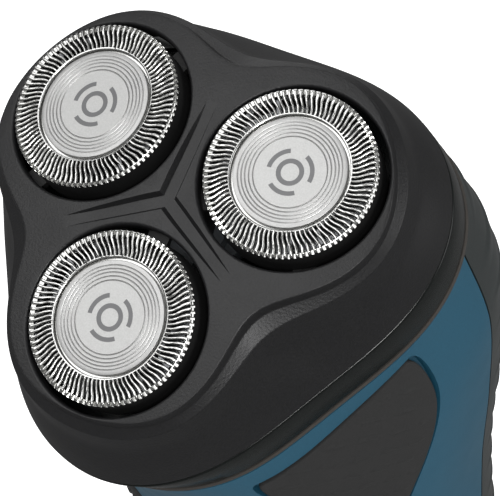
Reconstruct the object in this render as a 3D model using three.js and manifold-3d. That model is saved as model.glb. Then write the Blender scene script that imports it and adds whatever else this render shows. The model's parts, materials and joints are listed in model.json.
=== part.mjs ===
// Rotary electric shaver. Three floating shaving heads sit in a hinged shaving unit that opens
// backwards off a hair chamber. One motor drives the three cutters through a pinion and three gears.
// Millimetres, +Z up along the handle, front towards -Y. The origin is the middle of the resting face.
import * as THREE from "three";
import { mergeVertices } from "three/addons/utils/BufferGeometryUtils.js";
import { ParametricGeometry } from "three/addons/geometries/ParametricGeometry.js";
import Module from "manifold-3d";

const wasm = await Module();
wasm.setup();

const radians = THREE.MathUtils.degToRad;
const { cos, sin, tan, abs, sign, PI } = Math;

// ---------------------------------------------------------------- driving dimensions
const GAP = 0.3; // between pieces that touch
const FIT = 0.1; // radial play of a shaft in its bore

// Head position: the centre of the three caps, above the resting face and in front of the axis.
const HEAD_HEIGHT = 148;
const HEAD_FORWARD = 14.5;
const HEAD_TILT = radians(22); // head plane leans forward

// Shaving heads
const HEAD_COUNT = 3;
const FIRST_HEAD_ANGLE = 30; // degrees, the right-hand rear head
const CAP_SPREAD = 16.54; // head centre to cap centre
const CAP_LEAN = radians(7); // each cap leans outwards
const CAP_RADIUS = 11.3;
const CAP_PROUD = 1.5; // cap face above the cover
const CAP_DEPTH = 5.5; // cap face to its lower edge
const CAP_WALL = 0.6;
const CAP_TRAVEL = 1.5; // how far a cap floats in
const CAP_PLAY = 1.0; // gap between cap and cover
const TRACK_INNER = 7.9; // inner radius of the slotted track
const DISC_THICKNESS = 0.5;
const LUG_REACH = 1.3; // retaining lugs beyond the cap wall

// Cutters
const BLADE_COUNT = 15;
const BLADE_THICKNESS = 0.5;
const CUTTER_PLATE = 0.9;
const HUB_RADIUS = 3.7;
const HUB_BORE = 2.6;
const HUB_DEPTH = 4.0;

// Head cover
const COVER_WALL = 1.8;
const COVER_DEPTH = 14; // cap plane down to the parting line
const LAND_MARGIN = 0.3; // land outside the cap opening
const LAND_WAIST = 3.1; // land edge outside the cap circle, between two heads
const RIM_FLARE = 4.2; // rim outside the land, at a head
const WAIST_FLARE = 7.3; // rim outside the land, between two heads
const CHANNEL_WIDTH = 2.1;
const CHANNEL_DEPTH = 0.75;
const CHANNEL_LENGTH = 13.8;

// Hair chamber and drive
const COLLAR_HEIGHT = 6.6; // visible band under the parting line
const CHAMBER_WALL = 2.2;
const FLOOR_DEPTH = 17.8; // cap plane to the chamber floor
const FLOOR_THICKNESS = 1.4;
const GEAR_THICKNESS = 2.6;
const PINION_TEETH = 13;
const GEAR_TEETH = 35;
const AXLE_RADIUS = 1.45;
const GEAR_PLATE_THICKNESS = 1.5;
const SPINDLE_RADIUS = 3;
const SPINDLE_TIP = 1.5;
const SEAL_LIP = 5;
const SCREW_RADIUS = 1;
const SCREW_HEAD = 2.1;
const SCREW_CIRCLE = 19; // gear plate screws, from the head centre

// Motor
const MOTOR_RADIUS = 9.5;
const MOTOR_LENGTH = 22;
const MOTOR_WALL = 0.8;
const SHAFT_RADIUS = 1;

// Retaining frame and its lock, inside the cover
const FRAME_THICKNESS = 1.4;
const FRAME_DROP = 9.6; // cap plane to the frame's upper face
const RING_RADIUS = 8.6;
const LOCK_WING = 13;

// Hinge at the back of the shaving unit
const KNUCKLE_RADIUS = 1.5;
const HINGE_PIN_RADIUS = 0.8;
const HINGE_HALF_WIDTH = 10;
const HINGE_MIDDLE = 4.2;
const HINGE_INSET = 2.4; // hinge axis inside the back of the rim
const HINGE_RELIEF = 3.4; // radius cleared round the axis for the cover to swing through

// Handle
const NECK_GASKET = 0.6;
const SHELL_WALL = 2.2;
// The shoulder and neck take their half sizes from the head's rim, plus or minus these amounts.
const SHOULDER = { drop: 31, forward: 5.5, tilt: 17, wider: 1.3, deeper: -2.1 };
const NECK = { drop: 45, forward: 2.2, tilt: 10, wider: -1.2, deeper: -5.6 };
const UPPER_GRIP = { drop: 62, forward: 0.5, tilt: 6, halfWidth: 26.5, halfDepth: 20 };
const WAIST = { drop: 82, forward: 0, tilt: 3, halfWidth: 24, halfDepth: 18 };
const LOWER_BODY = { height: 33, halfWidth: 23, halfDepth: 17 };
const FOOT = { halfWidth: 22, halfDepth: 16.5 };
const SQUARENESS = 2.5; // superellipse power of the handle's section
const SEAM_BACK = 3.5; // the shells part this far behind the axis
const BASE_THICKNESS = 3;
const BASE_LIP = 4;

// Rubber grips
const GRIP_DEPTH = 1.2;
const GRIP_PROUD = 0.35;
const GRIP_TOP = 0.2; // stations of the loft
const GRIP_BOTTOM = 5.2;
const GRIP_SLANT = 0.27; // the top edge starts this much lower at the front

// Energy and electronics
const CELL_RADIUS = 7.1;
const CELL_LENGTH = 50;
const CELL_BASE = 20;
const CHASSIS_THICKNESS = 1.6;
const BOARD = { width: 20, thickness: 1.2, height: 62, front: 9.8, base: 28 };
const SWITCH = { width: 6, depth: 2.9 };
const BUTTON_RADIUS = 7;
const BUTTON_HEIGHT = 75;
const BUTTON_TRAVEL = 0.6;
const LENS_RADIUS = 1.4;
const LENS_HEIGHT = 60;
const SOCKET = { width: 8.6, depth: 4.6, height: 8, wall: 1.6, back: 7.5 };
const SOCKET_PIN_RADIUS = 0.8;
const RELEASE = { halfWidth: 4.5, top: 15.4, bottom: 19.6, depth: 1.4, setBack: 2.3 };

// Facets round a turned piece, and round an outline
const SMALL = 10;
const MEDIUM = 14;
const LARGE = 24;
const OUTLINE = 36;

// ---------------------------------------------------------------- solids
// A geometry as a manifold solid, facing out, with collapsed triangles dropped.
function solid(geometry) {
  const bare = geometry.clone();
  bare.deleteAttribute("normal");
  bare.deleteAttribute("uv");
  const merged = mergeVertices(bare, 1e-4);
  const corners = merged.index.array;
  const kept = [];
  for (let i = 0; i < corners.length; i += 3) {
    const [a, b, c] = [corners[i], corners[i + 1], corners[i + 2]];
    if (a !== b && b !== c && a !== c) kept.push([a, b, c]);
  }
  const make = (faces) =>
    new wasm.Manifold(
      new wasm.Mesh({
        numProp: 3,
        vertProperties: new Float32Array(merged.attributes.position.array),
        triVerts: new Uint32Array(faces.flat()),
      }),
    );
  const made = make(kept);
  return made.volume() < 0 ? make(kept.map(([a, b, c]) => [a, c, b])) : made;
}

function geometryOf(body) {
  const mesh = body.getMesh();
  const points = new Float32Array(mesh.numVert * 3);
  for (let i = 0; i < mesh.numVert; i++) {
    points.set(mesh.vertProperties.subarray(i * mesh.numProp, i * mesh.numProp + 3), i * 3);
  }
  const geometry = new THREE.BufferGeometry();
  geometry.setAttribute("position", new THREE.BufferAttribute(points, 3));
  geometry.setIndex(new THREE.BufferAttribute(new Uint32Array(mesh.triVerts), 1));
  geometry.computeVertexNormals();
  return geometry;
}

const join = (...bodies) => bodies.reduce((all, body) => all.add(body));
const cut = (from, ...tools) => tools.reduce((left, tool) => left.subtract(tool), from);

function box(x0, x1, y0, y1, z0, z1) {
  const geometry = new THREE.BoxGeometry(x1 - x0, y1 - y0, z1 - z0);
  geometry.translate((x0 + x1) / 2, (y0 + y1) / 2, (z0 + z1) / 2);
  return solid(geometry);
}

// A profile of [radius, height] pairs turned about Z; it starts and ends on the axis.
function turned(profile, segments = MEDIUM, matrix = null) {
  const geometry = new THREE.LatheGeometry(
    profile.map(([radius, height]) => new THREE.Vector2(radius, height)),
    segments,
  );
  geometry.rotateX(PI / 2);
  if (matrix) geometry.applyMatrix4(matrix);
  return solid(geometry);
}

const rod = (radius, z0, z1, segments = MEDIUM, matrix = null) =>
  turned([[0, z0], [radius, z0], [radius, z1], [0, z1]], segments, matrix);

// A ring of rectangular section; its profile closes on itself.
const ring = (inner, outer, z0, z1, segments = MEDIUM, matrix = null) =>
  turned([[inner, z0], [outer, z0], [outer, z1], [inner, z1], [inner, z0]], segments, matrix);

// An outline of [x, y] points, or a THREE.Shape, raised from z0 to z1.
function raised(outline, z0, z1, curveSegments = 6) {
  const shape = outline instanceof THREE.Shape
    ? outline
    : new THREE.Shape(outline.map(([x, y]) => new THREE.Vector2(x, y)));
  const geometry = new THREE.ExtrudeGeometry(shape, {
    depth: z1 - z0,
    bevelEnabled: false,
    curveSegments,
  });
  geometry.translate(0, 0, z0);
  return geometry;
}

// A skin through rings: each ring is a function of the angle that gives a point.
function skin(rings, slices) {
  const stacks = rings.length - 1;
  const surface = (u, v, target) =>
    target.copy(rings[Math.round(v * stacks)](u >= 1 ? 0 : u * 2 * PI));
  return solid(new ParametricGeometry(surface, slices, stacks));
}

const pole = (x, y, z) => () => new THREE.Vector3(x, y, z);

const turnAboutZ = (degrees) => new THREE.Matrix4().makeRotationZ(radians(degrees));

// ---------------------------------------------------------------- head outlines
const HOLE_RADIUS = CAP_RADIUS + CAP_PLAY;
const LAND_PEAK = CAP_SPREAD + HOLE_RADIUS + LAND_MARGIN;
const LAND_VALLEY = CAP_SPREAD + LAND_WAIST;
const RIM_PEAK = LAND_PEAK + RIM_FLARE;
const RIM_VALLEY = LAND_VALLEY + WAIST_FLARE;
const DOME = tan(CAP_LEAN) / (2 * CAP_SPREAD);
const domeHeight = (radius) => DOME * (CAP_SPREAD ** 2 - radius ** 2);

// Radius of an outline with three lobes over the heads; squareness widens the lobes.
function lobed(angle, peak, valley, squareness) {
  const phase = angle - radians(FIRST_HEAD_ANGLE);
  const middle = (peak + valley) / 2 + squareness;
  return middle + ((peak - valley) / 2) * cos(3 * phase) - squareness * cos(6 * phase);
}

const landRadius = (angle) => lobed(angle, LAND_PEAK, LAND_VALLEY, 1);
const RIM_SETBACK = 0.6; // the rim's centre is a little in front of the caps' centre
function rimPoint(angle, z, inset) {
  const radius = lobed(angle, RIM_PEAK, RIM_VALLEY, 0) - inset;
  return new THREE.Vector3(radius * cos(angle), radius * sin(angle) - RIM_SETBACK, z);
}

// Under the rim the front draws in, so that the release button lies in the rim's shade.
const CHIN_DEPTH = 1.6;
const chin = (angle) => CHIN_DEPTH * Math.max(0, -sin(angle)) ** 12;
const chinPoint = (angle, z, inset) => rimPoint(angle, z, inset + chin(angle));

// ---------------------------------------------------------------- scene
const shaver = new THREE.Group();
const head = new THREE.Group();
head.position.set(0, -HEAD_FORWARD, HEAD_HEIGHT);
head.rotation.x = HEAD_TILT;
shaver.add(head);

const capFrames = [];
for (let i = 0; i < HEAD_COUNT; i++) {
  const turn = new THREE.Group();
  turn.rotation.z = radians(FIRST_HEAD_ANGLE + (360 / HEAD_COUNT) * i);
  const lean = new THREE.Group();
  lean.position.x = CAP_SPREAD;
  lean.rotation.y = CAP_LEAN;
  turn.add(lean);
  head.add(turn);
  capFrames.push({ group: lean, angle: FIRST_HEAD_ANGLE + (360 / HEAD_COUNT) * i });
}
head.updateMatrix();
for (const frame of capFrames) {
  frame.group.parent.updateMatrix();
  frame.group.updateMatrix();
  frame.toHead = frame.group.parent.matrix.clone().multiply(frame.group.matrix);
}

const FINISHES = {
  black_plastic: { color: 0x2c2c2d, roughness: 0.55, metalness: 0 },
  gloss_black: { color: 0x161a19, roughness: 0.2, metalness: 0 },
  inner_plastic: { color: 0x5a5d60, roughness: 0.6, metalness: 0 },
  blue_plastic: { color: 0x2c4f68, roughness: 0.35, metalness: 0 },
  grip_rubber: { color: 0x3a3a3a, roughness: 0.8, metalness: 0 },
  seal_rubber: { color: 0x3c3835, roughness: 0.85, metalness: 0 },
  cap_steel: { color: 0xc9cacc, roughness: 0.22, metalness: 1 },
  satin_steel: { color: 0xc8c8c8, roughness: 0.4, metalness: 1 },
  blade_steel: { color: 0x9a9c9f, roughness: 0.3, metalness: 1 },
  gear_plastic: { color: 0xe6e2d6, roughness: 0.5, metalness: 0 },
  motor_steel: { color: 0xa7a9ab, roughness: 0.35, metalness: 1 },
  brass: { color: 0xb08d4a, roughness: 0.35, metalness: 1 },
  cell_wrap: { color: 0x3f7f5a, roughness: 0.4, metalness: 0 },
  circuit_board: { color: 0x23613c, roughness: 0.5, metalness: 0 },
  lens_clear: { color: 0x9fd8e8, roughness: 0.1, metalness: 0 },
};

function add(name, parent, body, finish) {
  const mesh = new THREE.Mesh(geometryOf(body), new THREE.MeshStandardMaterial(FINISHES[finish]));
  mesh.name = name;
  parent.add(mesh);
}

// ---------------------------------------------------------------- head cover
// The land follows a shallow dome, then the flank steps down to the rim in an S.
const FLANK = [
  [0.06, 0.09],
  [0.34, 0.19],
  [0.52, 0.4],
  [0.78, 0.62],
  [0.94, 0.8],
  [1, 1],
];

function flankPoint(angle, across, down, inset) {
  const land = landRadius(angle);
  const landX = land * cos(angle);
  const landY = land * sin(angle);
  const rim = rimPoint(angle, -COVER_DEPTH, 0);
  const top = domeHeight(land);
  const point = new THREE.Vector3(
    landX + (rim.x - landX) * across,
    landY + (rim.y - landY) * across,
    top + (-COVER_DEPTH - top) * down,
  );
  const shrink = 1 - inset / Math.hypot(point.x, point.y);
  point.x *= shrink;
  point.y *= shrink;
  return point;
}

function landPoint(angle, share, drop) {
  const radius = landRadius(angle) * share;
  return new THREE.Vector3(radius * cos(angle), radius * sin(angle), domeHeight(radius) - drop);
}

const HINGE_BACK = RIM_VALLEY - RIM_SETBACK - HINGE_INSET;
const PARTING = -COVER_DEPTH - GAP / 2;
const acrossHead = new THREE.Matrix4()
  .makeTranslation(0, HINGE_BACK, PARTING)
  .multiply(new THREE.Matrix4().makeRotationY(PI / 2));

// A barrel from x0 to x1 and its arm, which reaches from y0 to y1 past the axis and from z0 to z1.
function knuckle(x0, x1, [y0, y1, z0, z1]) {
  return cut(
    join(
      rod(KNUCKLE_RADIUS, x0, x1, MEDIUM, acrossHead),
      box(x0, x1, HINGE_BACK + y0, HINGE_BACK + y1, z0, z1),
    ),
    rod(HINGE_PIN_RADIUS + FIT, x0 - 1, x1 + 1, SMALL, acrossHead),
  );
}

const COVER_ARM = [-1, 1, PARTING + GAP, PARTING + KNUCKLE_RADIUS + 0.6];
const CHAMBER_ARM = [-KNUCKLE_RADIUS, -0.6, PARTING - HINGE_RELIEF - 0.4, PARTING - 0.2];

const POST_RADIUS = 3;
const STEM_RADIUS = 1.5;
const LATCH_BACK = RIM_PEAK + RIM_SETBACK - 6.3;

function channelTool(angle) {
  const rise = 2;
  const steps = 4;
  const lower = [];
  const upper = [];
  for (let i = 0; i <= steps; i++) {
    const radius = (CHANNEL_LENGTH * i) / steps;
    lower.push([radius, domeHeight(radius) - CHANNEL_DEPTH * (1 - (i / steps) ** 3)]);
    upper.unshift([radius, domeHeight(radius) + rise]);
  }
  const geometry = raised([...lower, ...upper], -CHANNEL_WIDTH / 2, CHANNEL_WIDTH / 2);
  geometry.rotateX(PI / 2);
  geometry.applyMatrix4(turnAboutZ(angle));
  return solid(geometry);
}

function headCover() {
  const inside = COVER_WALL;
  const middle = HINGE_MIDDLE + GAP;
  const rings = [
    pole(0, 0, domeHeight(0)),
    (a) => landPoint(a, 0.5, 0),
    (a) => landPoint(a, 1, 0),
    ...FLANK.map(([across, down]) => (a) => flankPoint(a, across, down, 0)),
    (a) => flankPoint(a, 1, 1, inside),
    (a) => flankPoint(a, 0.94, 0.8, inside),
    (a) => flankPoint(a, 0.78, 0.62, inside),
    (a) => flankPoint(a, 0.34, 0.34, inside),
    (a) => landPoint(a, 0.97, inside),
    pole(0, 0, domeHeight(0) - inside),
  ];
  const shell = join(
    cut(skin(rings, OUTLINE), rod(KNUCKLE_RADIUS + GAP, -middle, middle, MEDIUM, acrossHead)),
    rod(POST_RADIUS, -FRAME_DROP + GAP, domeHeight(0) - inside / 2, MEDIUM),
    box(-3, 3, -LATCH_BACK - 1.2, -LATCH_BACK, -COVER_DEPTH - 2.6, -COVER_DEPTH + 0.1),
    box(-3, 3, -LATCH_BACK - 4.7, -LATCH_BACK, -COVER_DEPTH, -COVER_DEPTH + 1.6),
    knuckle(middle, HINGE_HALF_WIDTH, COVER_ARM),
    knuckle(-HINGE_HALF_WIDTH, -middle, COVER_ARM),
  );
  return cut(
    shell,
    ...capFrames.map(({ toHead }) => rod(HOLE_RADIUS, -CAP_DEPTH, CAP_PROUD + 2, LARGE, toHead)),
    ...capFrames.map(({ angle }) => channelTool(angle + 180 / HEAD_COUNT)),
    rod(STEM_RADIUS + GAP, -FRAME_DROP - 1, -FRAME_DROP + 4, SMALL),
    rod(HINGE_PIN_RADIUS + FIT, -HINGE_HALF_WIDTH - 1, HINGE_HALF_WIDTH + 1, SMALL, acrossHead),
  );
}
add("head_cover", head, headCover(), "black_plastic");
add(
  "cover_hinge_pin",
  head,
  rod(HINGE_PIN_RADIUS, -HINGE_HALF_WIDTH, HINGE_HALF_WIDTH, SMALL, acrossHead),
  "motor_steel",
);

// ---------------------------------------------------------------- caps and cutters
const CAP_BOTTOM = CAP_PROUD - CAP_DEPTH;
const TRACK_UNDER = CAP_PROUD - CAP_WALL;
const SEAT_TOP = CAP_PROUD - DISC_THICKNESS - 0.15;
const SEAT_UNDER = SEAT_TOP - CAP_WALL;
const BLADE_TOP = TRACK_UNDER - GAP;
const PLATE_UNDER = SEAT_UNDER - 3.0;
const PLATE_TOP = PLATE_UNDER + CUTTER_PLATE;
const HUB_BOTTOM = PLATE_UNDER - HUB_DEPTH;

function capGuard() {
  const cup = turned(
    [
      [0, SEAT_UNDER],
      [TRACK_INNER, SEAT_UNDER],
      [TRACK_INNER, TRACK_UNDER],
      [CAP_RADIUS - CAP_WALL, TRACK_UNDER],
      [CAP_RADIUS - CAP_WALL, CAP_BOTTOM],
      [CAP_RADIUS, CAP_BOTTOM],
      [CAP_RADIUS, CAP_PROUD - 0.3],
      [CAP_RADIUS - 0.3, CAP_PROUD],
      [TRACK_INNER - 0.3, CAP_PROUD],
      [TRACK_INNER - 0.3, SEAT_TOP],
      [0, SEAT_TOP],
    ],
    LARGE,
  );
  const lug = [90, 180, 270].map((angle) => {
    const geometry = new THREE.BoxGeometry(LUG_REACH + 0.3, 3, 0.9);
    geometry.translate(CAP_RADIUS - 0.3 + (LUG_REACH + 0.3) / 2, 0, CAP_BOTTOM + 0.45);
    geometry.applyMatrix4(turnAboutZ(angle));
    return solid(geometry);
  });
  return join(cup, ...lug);
}

function cutter() {
  const inner = TRACK_INNER + 0.4;
  const outer = CAP_RADIUS - CAP_WALL - 0.4;
  const wheel = turned(
    [
      [0, PLATE_TOP],
      [outer, PLATE_TOP],
      [outer, PLATE_UNDER],
      [HUB_RADIUS, PLATE_UNDER],
      [HUB_RADIUS, HUB_BOTTOM],
      [HUB_BORE, HUB_BOTTOM],
      [HUB_BORE, PLATE_UNDER + 0.1],
      [0, PLATE_UNDER + 0.1],
    ],
    MEDIUM,
  );
  const blades = [];
  for (let i = 0; i < BLADE_COUNT; i++) {
    const height = BLADE_TOP - PLATE_TOP + 0.2;
    const geometry = new THREE.BoxGeometry(outer - inner, BLADE_THICKNESS, height);
    geometry.translate((outer + inner) / 2, 0, (BLADE_TOP + PLATE_TOP - 0.2) / 2);
    geometry.applyMatrix4(turnAboutZ((360 / BLADE_COUNT) * i));
    blades.push(solid(geometry));
  }
  return join(wheel, ...blades);
}

// ---------------------------------------------------------------- retaining frame and lock
const FRAME_TOP = -FRAME_DROP;
const FRAME_UNDER = FRAME_TOP - FRAME_THICKNESS;
const COLLAR_TOP = PLATE_UNDER - CAP_TRAVEL - GAP;
const HUB_CLEAR = HUB_RADIUS + 1.2;

function retainingFrame() {
  const axisAt = CAP_SPREAD + FRAME_TOP * tan(CAP_LEAN);
  const spots = capFrames.map(({ angle }) =>
    turnAboutZ(angle).multiply(new THREE.Matrix4().makeTranslation(axisAt, 0, 0)),
  );
  const rings = spots.map((spot) =>
    ring(HUB_CLEAR, RING_RADIUS, FRAME_UNDER, FRAME_TOP, MEDIUM, spot),
  );
  const collars = capFrames.map(({ toHead }) =>
    ring(HUB_CLEAR + 0.05, HUB_CLEAR + 1, FRAME_TOP - 0.7, COLLAR_TOP, MEDIUM, toHead),
  );
  const arms = capFrames.map(({ angle }) => {
    const length = axisAt - HUB_CLEAR - 0.5;
    const geometry = new THREE.BoxGeometry(length, 4, FRAME_THICKNESS);
    geometry.translate(length / 2, 0, (FRAME_TOP + FRAME_UNDER) / 2);
    geometry.applyMatrix4(turnAboutZ(angle));
    return solid(geometry);
  });
  const middle = rod(4.6, FRAME_UNDER, FRAME_TOP, MEDIUM);
  return cut(
    join(middle, ...rings, ...collars, ...arms),
    rod(STEM_RADIUS + GAP, FRAME_UNDER - 1, FRAME_TOP + 1, SMALL),
  );
}

function retainingLock() {
  const wingTop = FRAME_UNDER - GAP;
  const wing = new THREE.Shape();
  const round = 2.2;
  const reach = LOCK_WING / 2 - round;
  wing.absarc(reach, 0, round, -PI / 2, PI / 2, false);
  wing.absarc(-reach, 0, round, PI / 2, (3 * PI) / 2, false);
  return join(
    solid(raised(wing, wingTop - 2.2, wingTop, 6)),
    rod(STEM_RADIUS, wingTop - 0.5, FRAME_TOP + 3.6, SMALL),
  );
}
add("retaining_frame", head, retainingFrame(), "inner_plastic");
add("retaining_lock", head, retainingLock(), "inner_plastic");

// ---------------------------------------------------------------- hair chamber
const COLLAR_TOP_Z = -COVER_DEPTH - GAP;
const COLLAR_BOTTOM_Z = COLLAR_TOP_Z - COLLAR_HEIGHT + GAP;
const FLOOR_TOP = -FLOOR_DEPTH;
const FLOOR_UNDER = FLOOR_TOP - FLOOR_THICKNESS;
const GEAR_TOP = FLOOR_UNDER - 0.8;
const GEAR_UNDER = GEAR_TOP - GEAR_THICKNESS;
const GEAR_PLATE_TOP = GEAR_UNDER - 0.6;
const GEAR_PLATE_UNDER = GEAR_PLATE_TOP - GEAR_PLATE_THICKNESS;
const SPINDLE_CLEAR = SPINDLE_RADIUS + 1.4;
const screwSpots = capFrames.map(({ angle }) =>
  turnAboutZ(angle + 180 / HEAD_COUNT).multiply(
    new THREE.Matrix4().makeTranslation(SCREW_CIRCLE, 0, 0),
  ),
);
const RELEASE_FRONT = RIM_PEAK + RIM_SETBACK - RELEASE.setBack;

function hairChamber() {
  const wall = CHAMBER_WALL;
  const rings = [
    pole(0, 0, FLOOR_UNDER),
    (a) => chinPoint(a, FLOOR_UNDER, wall),
    (a) => chinPoint(a, COLLAR_BOTTOM_Z, wall),
    (a) => chinPoint(a, COLLAR_BOTTOM_Z, 0.4),
    (a) => rimPoint(a, COLLAR_TOP_Z, 0),
    (a) => rimPoint(a, COLLAR_TOP_Z, wall),
    (a) => rimPoint(a, FLOOR_TOP, wall),
    pole(0, 0, FLOOR_TOP),
  ];
  const posts = screwSpots.map((spot) =>
    rod(2.6, GEAR_PLATE_TOP + GAP, FLOOR_TOP - 0.2, SMALL, spot),
  );
  const bowl = join(
    cut(skin(rings, OUTLINE), rod(HINGE_RELIEF, -21, 21, LARGE, acrossHead)),
    ...posts,
    knuckle(-HINGE_MIDDLE, HINGE_MIDDLE, CHAMBER_ARM),
  );
  return cut(
    bowl,
    ...capFrames.map(({ toHead }) =>
      rod(SPINDLE_CLEAR, FLOOR_UNDER - 3, FLOOR_TOP + 3, MEDIUM, toHead),
    ),
    ...screwSpots.map((spot) =>
      rod(SCREW_RADIUS + FIT, GEAR_PLATE_TOP - 1, FLOOR_UNDER + 0.2, SMALL, spot),
    ),
    box(
      -RELEASE.halfWidth - GAP,
      RELEASE.halfWidth + GAP,
      -RIM_PEAK - RIM_SETBACK - 1,
      -RELEASE_FRONT + RELEASE.depth + 1.3,
      -RELEASE.bottom - GAP,
      -RELEASE.top + GAP,
    ),
    rod(HINGE_PIN_RADIUS + FIT, -HINGE_HALF_WIDTH, HINGE_HALF_WIDTH, SMALL, acrossHead),
  );
}
add("hair_chamber", head, hairChamber(), "gloss_black");

function releaseButton() {
  const height = RELEASE.bottom - RELEASE.top;
  const shape = new THREE.Shape();
  const round = 1;
  const x = RELEASE.halfWidth - round;
  const y = height / 2 - round;
  shape.absarc(x, y, round, 0, PI / 2, false);
  shape.absarc(-x, y, round, PI / 2, PI, false);
  shape.absarc(-x, -y, round, PI, 1.5 * PI, false);
  shape.absarc(x, -y, round, 1.5 * PI, 2 * PI, false);
  const geometry = raised(shape, 0, RELEASE.depth, 3);
  geometry.rotateX(-PI / 2);
  geometry.translate(0, -RELEASE_FRONT, -RELEASE.top - height / 2);
  return solid(geometry);
}
add("release_button", head, releaseButton(), "black_plastic");

// ---------------------------------------------------------------- drive train
const GEAR_CIRCLE = CAP_SPREAD + ((GEAR_TOP + GEAR_UNDER) / 2) * tan(CAP_LEAN);
const MODULE = (2 * GEAR_CIRCLE) / (PINION_TEETH + GEAR_TEETH);

// A spur gear with flat-sided teeth; the first tooth points along +X.
function spurGear(teeth, bore) {
  const pitch = (teeth * MODULE) / 2;
  const tip = pitch + MODULE * 0.85;
  const root = pitch - MODULE * 1.15;
  const step = (2 * PI) / teeth;
  const outline = [];
  for (let i = 0; i < teeth; i++) {
    const middle = step * i;
    for (const [radius, share] of [[root, -0.36], [tip, -0.1], [tip, 0.1], [root, 0.36]]) {
      outline.push([radius * cos(middle + share * step), radius * sin(middle + share * step)]);
    }
  }
  return cut(
    solid(raised(outline, GEAR_UNDER, GEAR_TOP)),
    rod(bore, GEAR_UNDER - 1, GEAR_TOP + 1, SMALL),
  );
}

// Each gear is turned so that one of its gaps takes the pinion tooth nearest to it.
function driveGear(angle) {
  const pinionPhase = (angle / 360) * PINION_TEETH;
  const toothShare = pinionPhase - Math.floor(pinionPhase);
  const turn = 180 + ((toothShare - 0.5) * 360) / GEAR_TEETH;
  const spot = turnAboutZ(angle)
    .multiply(new THREE.Matrix4().makeTranslation(GEAR_CIRCLE, 0, 0))
    .multiply(turnAboutZ(turn));
  const geometry = geometryOf(spurGear(GEAR_TEETH, AXLE_RADIUS + FIT));
  geometry.applyMatrix4(spot);
  return solid(geometry);
}

// ---------------------------------------------------------------- spindles, seals and caps, one set per head
const TIP_TOP = HUB_BOTTOM + 1.3;
const SHOULDER_TOP = HUB_BOTTOM - CAP_TRAVEL - 0.8;
const SPINDLE_BOTTOM = FLOOR_UNDER - 0.1;

function driveSpindle() {
  return turned(
    [
      [0, SPINDLE_BOTTOM],
      [SPINDLE_RADIUS, SPINDLE_BOTTOM],
      [SPINDLE_RADIUS, SHOULDER_TOP - 1],
      [SPINDLE_TIP + 0.4, SHOULDER_TOP],
      [SPINDLE_TIP, SHOULDER_TOP],
      [SPINDLE_TIP, TIP_TOP],
      [0, TIP_TOP],
    ],
    MEDIUM,
  );
}

function spindleSeal() {
  const inner = SPINDLE_RADIUS + 0.35;
  const outer = SPINDLE_CLEAR - 0.4;
  const lipUnder = FLOOR_TOP + SEAL_LIP * sin(CAP_LEAN) + 0.5;
  return turned(
    [
      [inner, FLOOR_UNDER + 0.4],
      [outer, FLOOR_UNDER + 0.4],
      [outer, lipUnder],
      [SEAL_LIP, lipUnder],
      [SEAL_LIP, lipUnder + 0.5],
      [inner, lipUnder + 1],
      [inner, FLOOR_UNDER + 0.4],
    ],
    MEDIUM,
  );
}

const SIDES = ["right", "left", "front"];
capFrames.forEach(({ group, angle }, i) => {
  const side = SIDES[i] ?? `extra_${i}`;
  add(`cap_guard_${side}`, group, capGuard(), "cap_steel");
  add(
    `cap_disc_${side}`,
    group,
    rod(TRACK_INNER - 0.5, SEAT_TOP + 0.1, SEAT_TOP + 0.1 + DISC_THICKNESS, LARGE),
    "satin_steel",
  );
  add(`cutter_${side}`, group, cutter(), "blade_steel");
  add(`drive_spindle_${side}`, group, driveSpindle(), "gear_plastic");
  add(`spindle_seal_${side}`, group, spindleSeal(), "seal_rubber");
  add(`drive_gear_${side}`, head, driveGear(angle), "gear_plastic");
  add(
    `gear_plate_screw_${side}`,
    head,
    join(
      rod(SCREW_HEAD, GEAR_PLATE_UNDER - 1.5, GEAR_PLATE_UNDER - GAP, SMALL, screwSpots[i]),
      rod(SCREW_RADIUS, GEAR_PLATE_UNDER - 0.5, FLOOR_UNDER - 0.6, SMALL, screwSpots[i]),
    ),
    "motor_steel",
  );
});

// ---------------------------------------------------------------- gear plate and motor
function gearPlate() {
  const plate = skin(
    [
      pole(0, 0, GEAR_PLATE_UNDER),
      (a) => rimPoint(a, GEAR_PLATE_UNDER, SHELL_WALL + 2.6),
      (a) => rimPoint(a, GEAR_PLATE_TOP, SHELL_WALL + 2.6),
      pole(0, 0, GEAR_PLATE_TOP),
    ],
    OUTLINE,
  );
  const axles = capFrames.map(({ angle }) =>
    rod(
      AXLE_RADIUS,
      GEAR_PLATE_TOP - 0.5,
      GEAR_TOP - 0.2,
      SMALL,
      turnAboutZ(angle).multiply(new THREE.Matrix4().makeTranslation(GEAR_CIRCLE, 0, 0)),
    ),
  );
  return cut(
    join(plate, ...axles),
    rod(SHAFT_RADIUS + 0.8, GEAR_PLATE_UNDER - 1, GEAR_PLATE_TOP + 1, SMALL),
    ...screwSpots.map((spot) =>
      rod(SCREW_RADIUS + FIT, GEAR_PLATE_UNDER - 1, GEAR_PLATE_TOP + 1, SMALL, spot),
    ),
  );
}
add("gear_plate", head, gearPlate(), "inner_plastic");

const MOTOR_TOP = GEAR_PLATE_UNDER - 0.5;
const MOTOR_UNDER = MOTOR_TOP - MOTOR_LENGTH;

function motorCan() {
  const inside = MOTOR_RADIUS - MOTOR_WALL;
  const mouth = SHAFT_RADIUS + 0.4;
  return turned(
    [
      [0, MOTOR_UNDER],
      [MOTOR_RADIUS, MOTOR_UNDER],
      [MOTOR_RADIUS, MOTOR_TOP],
      [mouth, MOTOR_TOP],
      [mouth, MOTOR_TOP - MOTOR_WALL],
      [inside, MOTOR_TOP - MOTOR_WALL],
      [inside, MOTOR_UNDER + MOTOR_WALL],
      [0, MOTOR_UNDER + MOTOR_WALL],
    ],
    MEDIUM,
  );
}

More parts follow.
